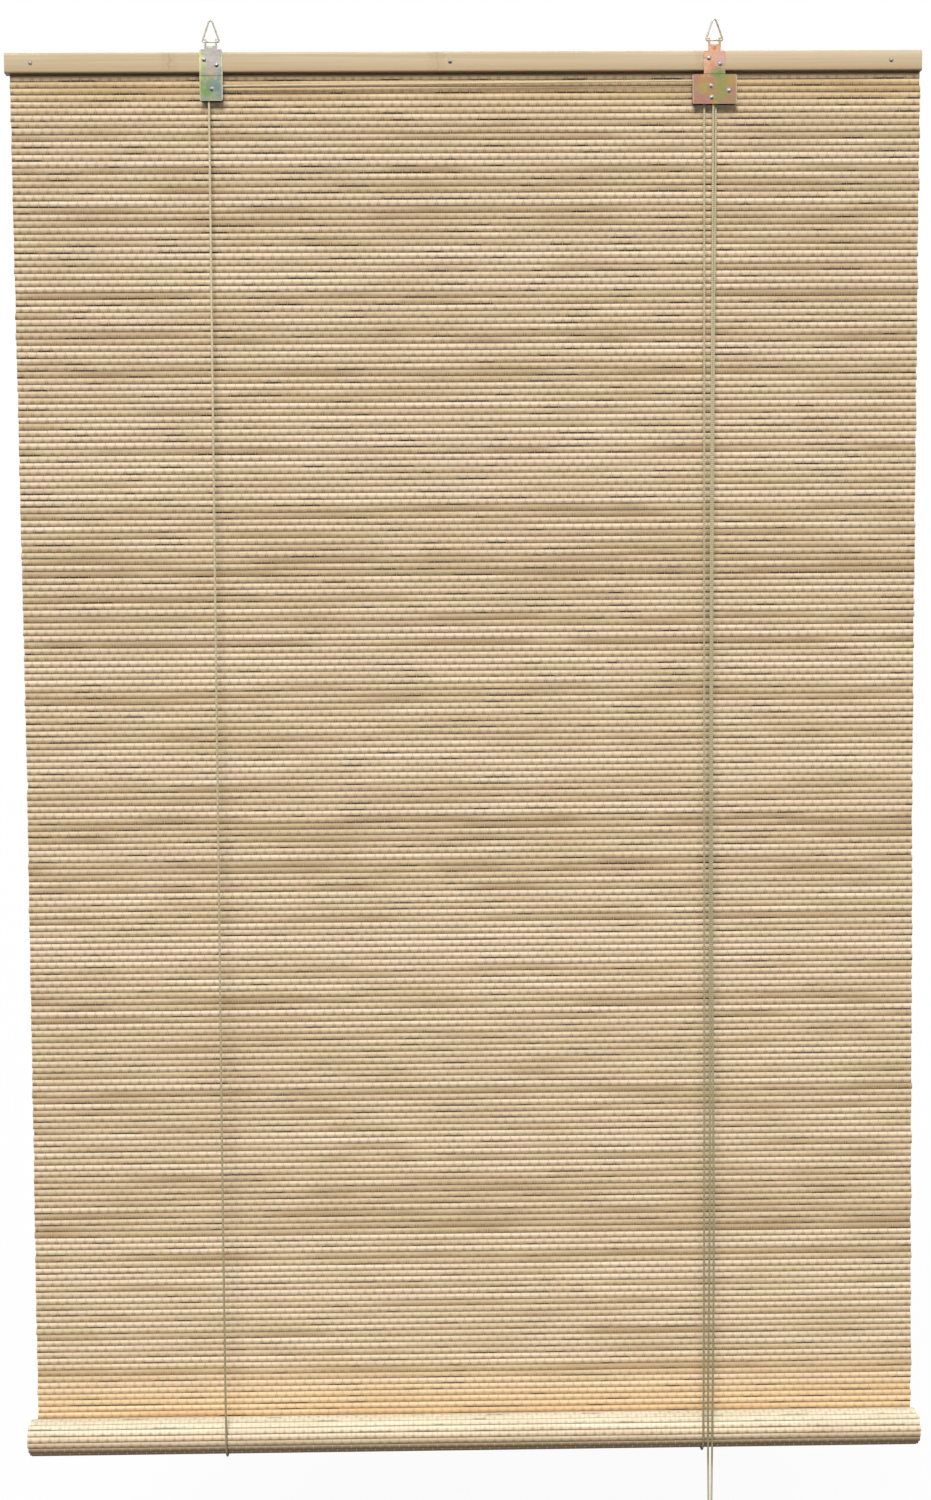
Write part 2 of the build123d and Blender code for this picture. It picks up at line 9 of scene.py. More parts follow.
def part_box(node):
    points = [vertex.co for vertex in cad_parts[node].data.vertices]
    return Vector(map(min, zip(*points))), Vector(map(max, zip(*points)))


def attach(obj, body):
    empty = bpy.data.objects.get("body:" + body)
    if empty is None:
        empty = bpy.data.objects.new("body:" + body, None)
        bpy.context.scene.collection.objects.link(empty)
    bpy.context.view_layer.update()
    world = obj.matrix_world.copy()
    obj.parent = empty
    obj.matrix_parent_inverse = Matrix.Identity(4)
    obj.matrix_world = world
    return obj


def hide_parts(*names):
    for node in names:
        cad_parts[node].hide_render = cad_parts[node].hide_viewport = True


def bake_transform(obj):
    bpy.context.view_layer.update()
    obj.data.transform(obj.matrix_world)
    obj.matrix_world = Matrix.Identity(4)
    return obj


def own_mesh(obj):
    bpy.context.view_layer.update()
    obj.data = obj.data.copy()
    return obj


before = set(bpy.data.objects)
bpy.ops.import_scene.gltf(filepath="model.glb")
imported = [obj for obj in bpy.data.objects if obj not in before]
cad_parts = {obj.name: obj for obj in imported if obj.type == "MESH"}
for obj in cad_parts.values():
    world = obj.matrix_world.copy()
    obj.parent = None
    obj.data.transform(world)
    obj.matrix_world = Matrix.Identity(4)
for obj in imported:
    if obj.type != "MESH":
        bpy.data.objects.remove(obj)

bl_info = {
    "name": "Bamboo roll-up blind",
    "version": (1, 0, 0),
    "blender": (4, 5, 0),
    "location": "3D View > Sidebar > Blind",
    "description": "Weaves, hangs and finishes a bamboo blind over its packed frame",
    "category": "Object",
}

# Places in the frame are in metres. The drawing's lengths are in millimetres and go through place().
MM = 0.001
RAIL_LOW, RAIL_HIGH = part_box("front_rail_lath")
MAT_LOW, MAT_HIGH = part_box("bamboo_mat")
MAT_Y = (MAT_LOW.y + MAT_HIGH.y) / 2
RAIL_TOP = RAIL_HIGH.z

# The mat and its roll, in millimetres
MAT_TOP = 1.0
RAIL_HEIGHT = 22.0
HALF_THICKNESS = 1.15
ROLL_Y = -20.35
ROLL_Z = -1524.5
ROLL_LINE_RADIUS = 20.35
ROLL_TURN_PITCH = 2.6
ROLL_TURNS = 1.6
ROLL_HALF_WIDTH = 498.0
JOINT_GAP = 0.3
MAT_LEFT, MAT_RIGHT = -495.4, 499.6
NARROWING_LEFT, NARROWING_RIGHT = 5.2, 6.8
END_WAVER = 1.6
ROLL_END_INSET = 1.6
ROLL_END_SWAY = 3.5
THREADED_HALF_WIDTH = 486
SLAT_SHARE = 0.985
THREAD_RISE = 0.1
# The wound slats' extra paleness is painted light on the roll.
SLAT_TONE, WOUND_PALER = 0.57, 0.14
THINNEST_BY = 0.12

# The brackets and the cords' way, in millimetres
CORD_RADIUS = 1.1
CORD_SIDES = 8
GROOVE_FRONT = -7.9
GROOVE_BACK = -4.4
LEFT_X = -275.7
RIGHT_X = 272.6
LEFT_AXLE = (LEFT_X + 0.8, -40.0)
RIGHT_AXLE = (RIGHT_X - 4.2, -38.8)
LEFT_HALF_WIDTH = 12.5
RIGHT_HALF_WIDTH = 24.3
LEFT_PITCH_RADIUS = 3.6
RIGHT_PITCH_RADIUS = 6.45
GUIDE_PIN = (RIGHT_X - 3.4, -51.0)
TONGUE_HALF_WIDTH, SHOULDER_RISE, SHOULDER_DROP = 6.9, 2.4, 3.4
RIVET_SPOTS = ((LEFT_X - 7.4, -8.4), (LEFT_X + 6.1, -14.3), (RIGHT_X - 6.1, -8.5), (RIGHT_X + 6.1, -14.8))
SCREW_SPOTS = ((-471.6, -11.0), (-15.8, -11.0), (466.2, -11.0))
# Radius and drop of the painted shade on the lower part of rivet and screw heads.
HEAD_SHADE_RADIUS, HEAD_SHADE_DROP = 2.7, 1.9
CAM_LOW, CAM_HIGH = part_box("cam_rivet")
CAM_PIVOT = ((CAM_LOW.x + CAM_HIGH.x) / 2 / MM, (CAM_LOW.z + CAM_HIGH.z) / 2 / MM - RAIL_TOP / MM)
PIN_PASS_RADIUS = 2.3
HOUSING_LOW = -59.3
LOOP_RADIUS = 22.9
LEFT_CORD_X = LEFT_AXLE[0] - LEFT_PITCH_RADIUS
LEFT_LOOP_X = LEFT_CORD_X + 2.2
RIGHT_CORD_X = RIGHT_AXLE[0] - RIGHT_PITCH_RADIUS
RIGHT_LOOP_X = RIGHT_CORD_X - 8.8
PULL_Y = -43.35
PULL_MIDDLE_X = (GUIDE_PIN[0] + PIN_PASS_RADIUS + RIGHT_AXLE[0] + RIGHT_PITCH_RADIUS) / 2 - 13.0
PULL_LOW_X = (PULL_MIDDLE_X - 2.7, PULL_MIDDLE_X + 2.7)
KNOT_X = (PULL_MIDDLE_X - 1.2, PULL_MIDDLE_X + 1.2)
PULL_END = -1638.0
KNOT_MIDDLE = (PULL_MIDDLE_X, PULL_Y, PULL_END - 4.6)
STAPLE_DROP = 12.0
STAPLE_CORD_Y = 7.35
STAPLE_TUCK = 1.9
PALE_SHARE = 0.4


def srgb(red, green, blue):
    """A colour as a screen shows it, made linear for a shader."""
    linear = []
    for value in (red, green, blue):
        share = value / 255
        linear.append(share / 12.92 if share <= 0.04045 else ((share + 0.055) / 1.055) ** 2.4)
    return (*linear, 1.0)


def place(x, y, z):
    """A point of the drawing, in millimetres from the middle of the rail's top edge, in the frame."""
    return Vector((x * MM, MAT_Y + y * MM, RAIL_TOP + z * MM))


def height(z):
    """The frame's height of a place in the drawing."""
    return place(0, 0, z).z


class BlindSizes(bpy.types.PropertyGroup):
    """Sizes of the weave and the cords."""

    slat_pitch_top: FloatProperty(
        name="Slat pitch at the rail", description="Height of a slat where the mat leaves the rail",
        default=0.00717, unit="LENGTH")
    slat_pitch_low: FloatProperty(
        name="Slat pitch at the roll", description="Height of a slat where the mat meets the roll",
        default=0.0068, unit="LENGTH")
    slat_waver: FloatProperty(
        name="Slat waver", description="How far a seam between two slats strays up or down",
        default=0.0005, unit="LENGTH")
    slat_segments: IntProperty(
        name="Slat segments", description="Lengths that one slat is divided into", default=7)
    thread_pitch: FloatProperty(
        name="Thread pitch", description="Distance between two warp threads", default=0.0053, unit="LENGTH")
    thread_width: FloatProperty(
        name="Thread width", description="Width of a warp thread", default=0.00042, unit="LENGTH")
    braid_lay: FloatProperty(
        name="Braid lay", description="Length in which a cord's strand goes once round it",
        default=0.0085, unit="LENGTH")


COLOUR = {"subtype": "COLOR", "size": 4, "min": 0, "max": 1}


class BlindColours(bpy.types.PropertyGroup):
    """Colours of the bamboo, the painted shade in its gaps, and the cords."""

    bamboo_pale: FloatVectorProperty(
        name="Pale bamboo", description="The palest slats", default=srgb(238, 218, 186), **COLOUR)
    bamboo_straw: FloatVectorProperty(
        name="Straw bamboo", description="Most slats", default=srgb(228, 206, 171), **COLOUR)
    bamboo_dark: FloatVectorProperty(
        name="Dark bamboo", description="The darkest slats", default=srgb(184, 158, 120), **COLOUR)
    # Painted shade: the near-black colour that fills the gaps between slats.
    crevice_shade: FloatVectorProperty(
        name="Crevice", description="The seams and gaps between slats", default=srgb(60, 40, 22), **COLOUR)
    cord_olive: FloatVectorProperty(
        name="Olive strand", description="The darker strands of the cords",
        default=srgb(178, 170, 130), **COLOUR)
    cord_beige: FloatVectorProperty(
        name="Beige strand", description="The paler strands of the cords",
        default=srgb(240, 223, 184), **COLOUR)


# Node trees

def fill(tree, node, sockets):
    """Gives a node's inputs their values, or links the sockets that are given for them."""
    for name, value in sockets.items():
        if isinstance(value, bpy.types.NodeSocket):
            tree.links.new(value, node.inputs[name])
        else:
            node.inputs[name].default_value = value


def add_node(tree, kind, sockets=None, **settings):
    """A new node with its settings and inputs."""
    node = tree.nodes.new(kind)
    for name, value in settings.items():
        setattr(node, name, value)
    fill(tree, node, sockets or {})
    return node


def calculate(tree, operation, first, second=0.0):
    """The result of one sum on two values."""
    return add_node(tree, "ShaderNodeMath", {0: first, 1: second}, operation=operation).outputs[0]


def times(tree, first, second):
    """One value times another."""
    return calculate(tree, "MULTIPLY", first, second)


def plus(tree, first, second):
    """One value plus another."""
    return calculate(tree, "ADD", first, second)


def minus(tree, first, second):
    """One value less another."""
    return calculate(tree, "SUBTRACT", first, second)


def divide(tree, first, second):
    """One value divided by another."""
    return calculate(tree, "DIVIDE", first, second)


def vector_sum(tree, operation, first, second):
    """The result of one sum on two vectors."""
    return add_node(tree, "ShaderNodeVectorMath", {0: first, 1: second}, operation=operation).outputs[0]


def separate(tree, vector):
    """A vector's three parts."""
    return add_node(tree, "ShaderNodeSeparateXYZ", {0: vector}).outputs


def spread(tree, value, low, high, to_low=0.0, to_high=1.0, smooth=True):
    """A value mapped from one range to another, held at the ends."""
    kind = "SMOOTHSTEP" if smooth else "LINEAR"
    sockets = {"Value": value, "From Min": low, "From Max": high, "To Min": to_low, "To Max": to_high}
    return add_node(tree, "ShaderNodeMapRange", sockets, interpolation_type=kind).outputs[0]


def between(tree, share, low, high):
    """A share from 0 to 1 mapped between two values."""
    return spread(tree, share, 0.0, 1.0, low, high)


def blend_colours(tree, share, first, second):
    """Two colours mixed by a share."""
    node = add_node(tree, "ShaderNodeMix", data_type="RGBA")
    fill(tree, node, {0: share, 6: first, 7: second})
    return node.outputs[2]


def colour_ramp(tree, value, stops):
    """A ramp of colours, given as (place, colour) pairs."""
    node = add_node(tree, "ShaderNodeValToRGB", {"Fac": value})
    elements = node.color_ramp.elements
    while len(elements) < len(stops):
        elements.new(0.5)
    for element, (position, colour) in zip(elements, stops):
        element.position = position
        element.color = colour
    return node.outputs["Color"]


def noise_value(tree, vector, scale, detail=2.0, roughness=0.5):
    """Plain noise on a vector."""
    sockets = {"Vector": vector, "Scale": scale, "Detail": detail, "Roughness": roughness}
    return add_node(tree, "ShaderNodeTexNoise", sockets).outputs[0]


def object_place(tree):
    """The place on the surface, in the frame."""
    return add_node(tree, "ShaderNodeTexCoord").outputs["Object"]


def new_group(name, vectors, floats, outputs):
    """An empty node group with its sockets: vectors and outputs are names, floats have values too."""
    tree = bpy.data.node_groups.new(name, "ShaderNodeTree")
    for label in vectors:
        tree.interface.new_socket(label, in_out="INPUT", socket_type="NodeSocketVector")
    for label, value in floats.items():
        socket = tree.interface.new_socket(label, in_out="INPUT", socket_type="NodeSocketFloat")
        socket.default_value = value
    for label in outputs:
        tree.interface.new_socket(label, in_out="OUTPUT", socket_type="NodeSocketFloat")
    return tree, tree.nodes.new("NodeGroupInput").outputs, tree.nodes.new("NodeGroupOutput")


def use_group(tree, group, sockets):
    """A node group placed in a tree, with its inputs."""
    return add_node(tree, "ShaderNodeGroup", sockets, node_tree=group).outputs


def fibre_group():
    """Fibres that run along X, with streaks for the colour and a height for the bump."""
    if "Bamboo fibre" in bpy.data.node_groups:
        return bpy.data.node_groups["Bamboo fibre"]
    tree, given, result = new_group(
        "Bamboo fibre", ["Vector"], {"Along": 12.0, "Across": 900.0}, ["Streaks", "Height"])
    along, across = given["Along"], given["Across"]
    stretch = add_node(tree, "ShaderNodeCombineXYZ", {"X": along, "Y": across, "Z": across})
    stretched = vector_sum(tree, "MULTIPLY", given["Vector"], stretch.outputs[0])
    broad = noise_value(tree, stretched, 0.35, 3.0, 0.6)
    fine = noise_value(tree, stretched, 1.9, 2.0, 0.7)
    both = plus(tree, times(tree, broad, 0.65), times(tree, fine, 0.35))
    fill(tree, result, {"Streaks": spread(tree, both, 0.3, 0.7), "Height": plus(tree, broad, fine)})
    return tree


def patch_group():
    """Soft patches between a low and a high edge, for stains, dust and wear."""
    if "Patches" in bpy.data.node_groups:
        return bpy.data.node_groups["Patches"]
    tree, given, result = new_group(
        "Patches", ["Vector"], {"Scale": 20.0, "Low": 0.45, "High": 0.65}, ["Mask"])
    cloud = noise_value(tree, given["Vector"], given["Scale"], 4.0, 0.6)
    fill(tree, result, {"Mask": spread(tree, cloud, given["Low"], given["High"])})
    return tree


def patches(tree, where, scale, low, high):
    """The mask of soft patches of one scale, between two edges."""
    sockets = {"Vector": where, "Scale": scale, "Low": low, "High": high}
    return use_group(tree, patch_group(), sockets)["Mask"]


def film_group():
    """The bands of a thin coloured film on zinc, which run down the plate and curl."""
    if "Zinc film" in bpy.data.node_groups:
        return bpy.data.node_groups["Zinc film"]
    tree, given, result = new_group(
        "Zinc film", ["Vector"], {"Middle": 0.0, "Width": 0.05}, ["Band", "Fleck"])
    across, _, _ = separate(tree, given["Vector"])
    share = divide(tree, minus(tree, across, given["Middle"]), given["Width"])
    curl = spread(tree, noise_value(tree, given["Vector"], 60.0, 2.0), 0.25, 0.75, 0.1, 0.9, smooth=False)
    fleck = noise_value(tree, given["Vector"], 1400.0, 3.0, 0.7)
    fill(tree, result, {"Band": plus(tree, share, curl), "Fleck": fleck})
    return tree


def spot_group():
    """A soft spot with a wavy edge, whose middle counts only across and up the object, not in depth."""
    if "Film spot" in bpy.data.node_groups:
        return bpy.data.node_groups["Film spot"]
    tree, given, result = new_group("Film spot", ["Vector", "Middle"], {"Radius": 0.01}, ["Mask"])
    offset = vector_sum(tree, "SUBTRACT", given["Vector"], given["Middle"])
    flat = vector_sum(tree, "MULTIPLY", offset, (1, 0, 1))
    length = add_node(tree, "ShaderNodeVectorMath", {0: flat}, operation="LENGTH")
    ragged = spread(tree, noise_value(tree, given["Vector"], 130.0, 2.0), 0.3, 0.7, -0.3, 0.3)
    share = plus(tree, divide(tree, length.outputs["Value"], given["Radius"]), ragged)
    fill(tree, result, {"Mask": spread(tree, share, 1.25, 0.0)})
    return tree


def spot_mask(tree, where, x, z, radius):
    """The mask of one soft spot, with its middle and radius in millimetres."""
    sockets = {"Vector": where, "Middle": place(x, 0, z), "Radius": radius * MM}
    return use_group(tree, spot_group(), sockets)["Mask"]


def braid_group():
    """Two sets of strands that cross round a cord, from its UV map: U round it and V along it in metres."""
    if "Braid" in bpy.data.node_groups:
        return bpy.data.node_groups["Braid"]
    tree, given, result = new_group(
        "Braid", ["UV"], {"Lay": 0.008, "Strands": 2.0}, ["Stripe", "Height"])
    round_cord, down_cord, _ = separate(tree, given["UV"])
    along = divide(tree, down_cord, given["Lay"])
    waves = []
    for way in (1.0, -1.0):
        turned = plus(tree, round_cord, times(tree, along, way))
        angle = times(tree, times(tree, turned, given["Strands"]), 2 * pi)
        waves.append(calculate(tree, "SINE", angle))
    product = times(tree, waves[0], waves[1])
    relief = calculate(tree, "ABSOLUTE", product)
    fill(tree, result, {"Stripe": spread(tree, product, -0.15, 0.15), "Height": relief})
    return tree


def new_material(name, **shader_values):
    """A material with its tree and its shader, which takes the values that are the same all over."""
    material = bpy.data.materials.new(name)
    material.use_nodes = True
    tree = material.node_tree
    shader = tree.nodes["Principled BSDF"]
    fill(tree, shader, {label.replace("_", " "): value for label, value in shader_values.items()})
    return material, tree, shader


def bump(tree, relief, strength, distance):
    """A bump from a relief."""
    sockets = {"Height": relief, "Strength": strength, "Distance": distance}
    return add_node(tree, "ShaderNodeBump", sockets).outputs[0]


# Materials

def slat_material():
    """Split bamboo: a tone for each slat, fibres, and a dimple where a thread dips under it, with painted
    light: shade on the lower part of each slat, at the thread dips, in the seams and gaps and just below
    the rail, a warm tint in the rail's shade, bounce light just above the roll, and the roll's top painted
    paler and its underside darker.
    """
    if "Slat bamboo" in bpy.data.materials:
        return bpy.data.materials["Slat bamboo"]
    colours, sizes = bpy.context.scene.blind_colours, bpy.context.scene.blind_sizes
    material, tree, shader = new_material("Slat bamboo", Specular_IOR_Level=0.3)
    across, _, up = separate(tree, object_place(tree))
    _, up_slat, _ = separate(tree, add_node(tree, "ShaderNodeUVMap").outputs[0])
    tint, row, hanging = (
        add_node(tree, "ShaderNodeAttribute", attribute_name=name).outputs["Fac"]
        for name in ("tint", "row", "hanging"))
    own = add_node(tree, "ShaderNodeCombineXYZ", {
        "X": across, "Y": times(tree, row, 0.713), "Z": times(tree, up_slat, 0.007)}).outputs[0]
    fibre = use_group(tree, fibre_group(), {"Vector": own, "Along": 16.0, "Across": 620.0})
    tone = plus(tree, tint, spread(tree, noise_value(tree, own, 8.0, 2.0), 0.3, 0.7, -0.26, 0.26))
    body = colour_ramp(tree, tone, [
        (0.0, colours.bamboo_dark), (0.35, srgb(217, 193, 155)), (0.6, colours.bamboo_straw),
        (0.85, colours.bamboo_pale), (1.0, srgb(240, 218, 188))])
    hue = noise_value(tree, own, 5.0, 1.0)
    greened = blend_colours(tree, spread(tree, hue, 0.56, 0.7, 0.0, 0.4), body, srgb(214, 202, 152))
    tinted = blend_colours(tree, spread(tree, hue, 0.44, 0.3, 0.0, 0.4), greened, srgb(230, 200, 174))
    # Painted bounce light: the hanging slats just above the roll are painted paler and more orange, and
    # their painted shade is weaker there.
    painted_bounce = times(tree, hanging, spread(tree, up, height(ROLL_Z + 95), height(ROLL_Z + 16)))
    bounce_lit = blend_colours(tree, times(tree, painted_bounce, 0.6), tinted, srgb(252, 212, 156))
    wound = minus(tree, 1.0, hanging)
    # Painted light: the wound slats on the roll's top are painted paler, as if lit from above.
    painted_top_light = spread(tree, up, height(ROLL_Z + 1), height(ROLL_Z + 15), 0.0, 0.95)
    top_lit = blend_colours(tree, times(tree, wound, painted_top_light), bounce_lit, srgb(255, 247, 220))
    # Painted shade: the wound slats on the roll's underside are painted dark brown.
    painted_underside_shade = spread(tree, up, height(ROLL_Z + 4), height(ROLL_Z - 15), 0.0, 0.93)
    underside_shaded = blend_colours(tree, times(tree, wound, painted_underside_shade), top_lit, srgb(90, 70, 42))
    # Painted warm tint of the rail's shade on the slats just below it.
    below_rail = spread(tree, up, height(-80), height(-26), 0.0, 0.35)
    rail_shade_warmed = blend_colours(tree, below_rail, underside_shaded, srgb(240, 198, 126))
    streaks = between(tree, fibre["Streaks"], 0.0, 0.3)
    streaked = blend_colours(tree, streaks, rail_shade_warmed, srgb(180, 150, 108))
    # Painted shade: the lower part of each slat is darkened where light from above leaves it, less on the
    # roll and just above it.
    faded = between(tree, hanging, 0.4, 1.0)
    depth = minus(tree, faded, times(tree, painted_bounce, 0.3))
    under = times(tree, spread(tree, up_slat, 0.76, 0.3, 0.0, 0.46), depth)
    shaded = blend_colours(tree, under, streaked, srgb(150, 122, 86))
    # The dimple is a dent in the bump. Its dark colour and the thin line along each thread are painted
    # shadow of the warp threads.
    phase = plus(tree, divide(tree, across, 2 * sizes.thread_pitch), times(tree, row, 0.5))
    wave = calculate(tree, "COSINE", times(tree, phase, 2 * pi))
    low_part = times(tree, spread(tree, up_slat, 0.0, 0.06), spread(tree, up_slat, 0.82, 0.2))
    under_thread = times(tree, spread(tree, wave, -0.1, 0.95), low_part)
    uneven = spread(tree, noise_value(tree, own, 45.0, 1.0), 0.3, 0.6, 0.4, 1.0)
    pressing = calculate(tree, "MAXIMUM", depth, times(tree, wound, 0.8))
    dimple = times(tree, under_thread, times(tree, uneven, pressing))
    thread_line = spread(tree, wave, 0.86, 1.0, 0.0, 0.26)
    thread_shadow = calculate(tree, "MAXIMUM", times(tree, dimple, 0.62), thread_line)
    # Under the roll's painted top light, the painted thread shadow and seam shade are weakened.
    tight = times(tree, times(tree, wound, painted_top_light), 0.6)
    thread_shadow_share = times(tree, thread_shadow, spread(tree, tight, 0.0, 0.6, 1.0, 0.55))
    thread_shadowed = blend_colours(tree, thread_shadow_share, shaded, srgb(122, 94, 58))
    # Painted shade in the crevice at each seam, strongest at a slat's lower seam and weaker on the roll.
    loose = spread(tree, noise_value(tree, own, 14.0, 1.0), 0.35, 0.65, 0.15, 0.8)
    low_seam = times(tree, spread(tree, up_slat, 0.2, 0.03), loose)
    seams = plus(tree, low_seam, spread(tree, up_slat, 0.95, 1.0, 0.0, 0.3))
    seam_share = times(tree, seams, minus(tree, spread(tree, depth, 0.4, 1.0, 0.75, 1.0), tight))
    seamed = blend_colours(tree, seam_share, thread_shadowed, srgb(104, 78, 48))
    # Painted shade where a seam opens to a gap: a near-black line stands for the shade behind the slats.
    shut = noise_value(tree, own, 20.0, 1.0)
    gap = times(tree, spread(tree, shut, 0.58, 0.64), spread(tree, up_slat, 0.28, 0.15))
    gapped = blend_colours(tree, times(tree, gap, faded), seamed, colours.crevice_shade)
    # Painted shadow of the rail on the mat just below it.
    under_rail_shade = spread(tree, up, height(-25), height(-22.8), 0.0, 0.7)
    colour = blend_colours(tree, under_rail_shade, gapped, srgb(66, 40, 12))
    relief = minus(tree, fibre["Height"], dimple)
    fill(tree, shader, {
        "Base Color": colour, "Roughness": between(tree, fibre["Streaks"], 0.5, 0.72),
        "Normal": bump(tree, relief, 0.5, 0.0003)})
    return material


def thread_material():
    """Undyed cotton warp, twisted and a little fuzzy."""
    if "Warp cotton" in bpy.data.materials:
        return bpy.data.materials["Warp cotton"]
    material, tree, shader = new_material("Warp cotton", Sheen_Weight=0.2)
    where = object_place(tree)
    twist = noise_value(tree, where, 900.0, 2.0)
    fill(tree, shader, {
        "Base Color": colour_ramp(tree, twist, [(0.3, srgb(188, 166, 128)), (0.7, srgb(222, 204, 170))]),
        "Roughness": spread(tree, twist, 0.3, 0.7, 0.7, 0.9), "Normal": bump(tree, twist, 0.4, 0.0001)})
    return material


def rail_material():
    """Planed bamboo laths, with fibres, pale streaks and darker bands at the nodes of the cane, and painted
    shade down the lower part of the face and on the underside.
    """
    node_spacing, first_node = 0.2911, -0.6123
    material, tree, shader = new_material("Rail bamboo", Coat_Weight=0.08)
    where = object_place(tree)
    fibre = use_group(tree, fibre_group(), {"Vector": where, "Along": 5.0, "Across": 650.0})
    blotches = patches(tree, where, 9.0, 0.4, 0.7)
    body = colour_ramp(tree, fibre["Streaks"], [
        (0.0, srgb(217, 199, 169)), (0.5, srgb(210, 190, 155)), (1.0, srgb(198, 176, 139))])
    across, _, up = separate(tree, where)
    # Painted shade: the face darkens towards the rail's lower edge.
    lower = spread(tree, up, RAIL_TOP, RAIL_LOW.z, 0.0, 1.0, smooth=False)
    painted_lower_shade = blend_colours(tree, lower, body, srgb(174, 148, 108))
    toned = blend_colours(tree, times(tree, blotches, 0.3), painted_lower_shade, srgb(190, 168, 128))
    wavy = plus(tree, across, spread(tree, noise_value(tree, where, 160.0, 1.0), 0.0, 1.0, -0.004, 0.004))
    step = divide(tree, minus(tree, wavy, first_node - node_spacing / 2), node_spacing)
    off_node = calculate(tree, "ABSOLUTE", minus(tree, calculate(tree, "FRACT", step), 0.5))
    node_band = spread(tree, off_node, 0.04, 0.02)
    node_line = spread(tree, off_node, 0.006, 0.002)
    banded = blend_colours(tree, times(tree, node_band, 0.3), toned, srgb(176, 146, 104))
    lined = blend_colours(tree, times(tree, node_line, 0.2), banded, srgb(136, 104, 66))
    # Painted shade on the rail's underside.
    under_rail_shade = spread(tree, up, height(-21.2), height(-22), 0.0, 0.8)
    under_rail_shaded = blend_colours(tree, under_rail_shade, lined, srgb(74, 50, 22))
    relief = plus(tree, fibre["Height"], node_line)
    fill(tree, shader, {
        "Base Color": under_rail_shaded, "Roughness": between(tree, fibre["Streaks"], 0.38, 0.6),
        "Normal": bump(tree, relief, 0.35, 0.0003)})
    return material


def pole_material():
    """Raw round wood, with growth rings that show on its ends."""
    material, tree, shader = new_material("Pole wood")
    where = object_place(tree)
    fibre = use_group(tree, fibre_group(), {"Vector": where, "Along": 8.0, "Across": 500.0})
    middle = place(0, ROLL_Y + 4, ROLL_Z - 3)
    centred = add_node(tree, "ShaderNodeMapping", {"Vector": where, "Location": -middle}).outputs[0]
    rings = add_node(tree, "ShaderNodeTexWave", {"Vector": centred, "Scale": 160.0, "Distortion": 3.0},
                     wave_type="RINGS", rings_direction="X").outputs[1]
    body = colour_ramp(tree, fibre["Streaks"], [(0.0, srgb(222, 190, 142)), (1.0, srgb(184, 146, 98))])
    ringed = blend_colours(tree, times(tree, rings, 0.3), body, srgb(150, 112, 70))
    fill(tree, shader, {
        "Base Color": ringed, "Roughness": between(tree, fibre["Streaks"], 0.55, 0.75),
        "Normal": bump(tree, fibre["Height"], 0.4, 0.0004)})
    return material


def reflection_dimmed(colour):
    """A film colour darkened by a fixed share: painted shade that stands in for the darker surroundings
    that the metal reflects.
    """
    return (colour[0] * 0.87, colour[1] * 0.88, colour[2] * 0.8, 1.0)


def zinc_material(name, middle_x, half_width, stops, spots):
    """Zinc plate with a thin film, whose colours drift and gather in spots, and side edges painted paler:
    rubbed wear and a painted highlight.
    """
    material, tree, shader = new_material(name)
    where = object_place(tree)
    film = use_group(tree, film_group(), {"Vector": where, "Middle": middle_x * MM})
    scuffs = patches(tree, where, 420.0, 0.5, 0.74)
    body = colour_ramp(tree, film["Band"], [(at, reflection_dimmed(colour)) for at, colour in stops])
    for x, z, radius, colour in spots:
        body = blend_colours(tree, spot_mask(tree, where, x, z, radius), body, reflection_dimmed(colour))
    across, _, _ = separate(tree, where)
    beside = calculate(tree, "ABSOLUTE", minus(tree, across, middle_x * MM))
    # Painted highlight along the side edges, where they catch the light, together with rubbed wear.
    edge = spread(tree, beside, (half_width - 1.8) * MM, (half_width - 0.2) * MM, 0.0, 0.3)
    rubbed = blend_colours(tree, edge, body, srgb(200, 188, 170))
    flecks = spread(tree, film["Fleck"], 0.45, 0.75, 0.0, 0.35)
    flecked = blend_colours(tree, flecks, rubbed, srgb(206, 198, 176))
    scuffed = blend_colours(tree, times(tree, scuffs, 0.45), flecked, srgb(104, 94, 76))
    fill(tree, shader, {
        "Base Color": scuffed, "Metallic": between(tree, scuffs, 0.8, 0.5),
        "Roughness": spread(tree, film["Fleck"], 0.3, 0.7, 0.3, 0.46),
        "Normal": bump(tree, film["Fleck"], 0.12, 0.0001)})
    return material


def metal_material(name, pale, dull, low_roughness, high_roughness, metallic=1.0, shaded_heads=()):
    """Plain metal with fine scratches and duller patches, and painted shade on the lower part of the heads
    that are given.
    """
    material, tree, shader = new_material(name, Metallic=metallic)
    where = object_place(tree)
    dulled = patches(tree, where, 260.0, 0.42, 0.68)
    scratches = noise_value(tree, where, 2600.0, 2.0, 0.7)
    colour = blend_colours(tree, dulled, pale, dull)
    # Painted shade: a near-black spot over the lower part of each given head.
    for x, z in shaded_heads:
        spot = spot_mask(tree, where, x, z - HEAD_SHADE_DROP, HEAD_SHADE_RADIUS)
        colour = blend_colours(tree, times(tree, spot, 0.95), colour, srgb(34, 30, 26))
    fill(tree, shader, {
        "Base Color": colour, "Roughness": between(tree, dulled, low_roughness, high_roughness),
        "Normal": bump(tree, scratches, 0.1, 0.00005)})
    return material


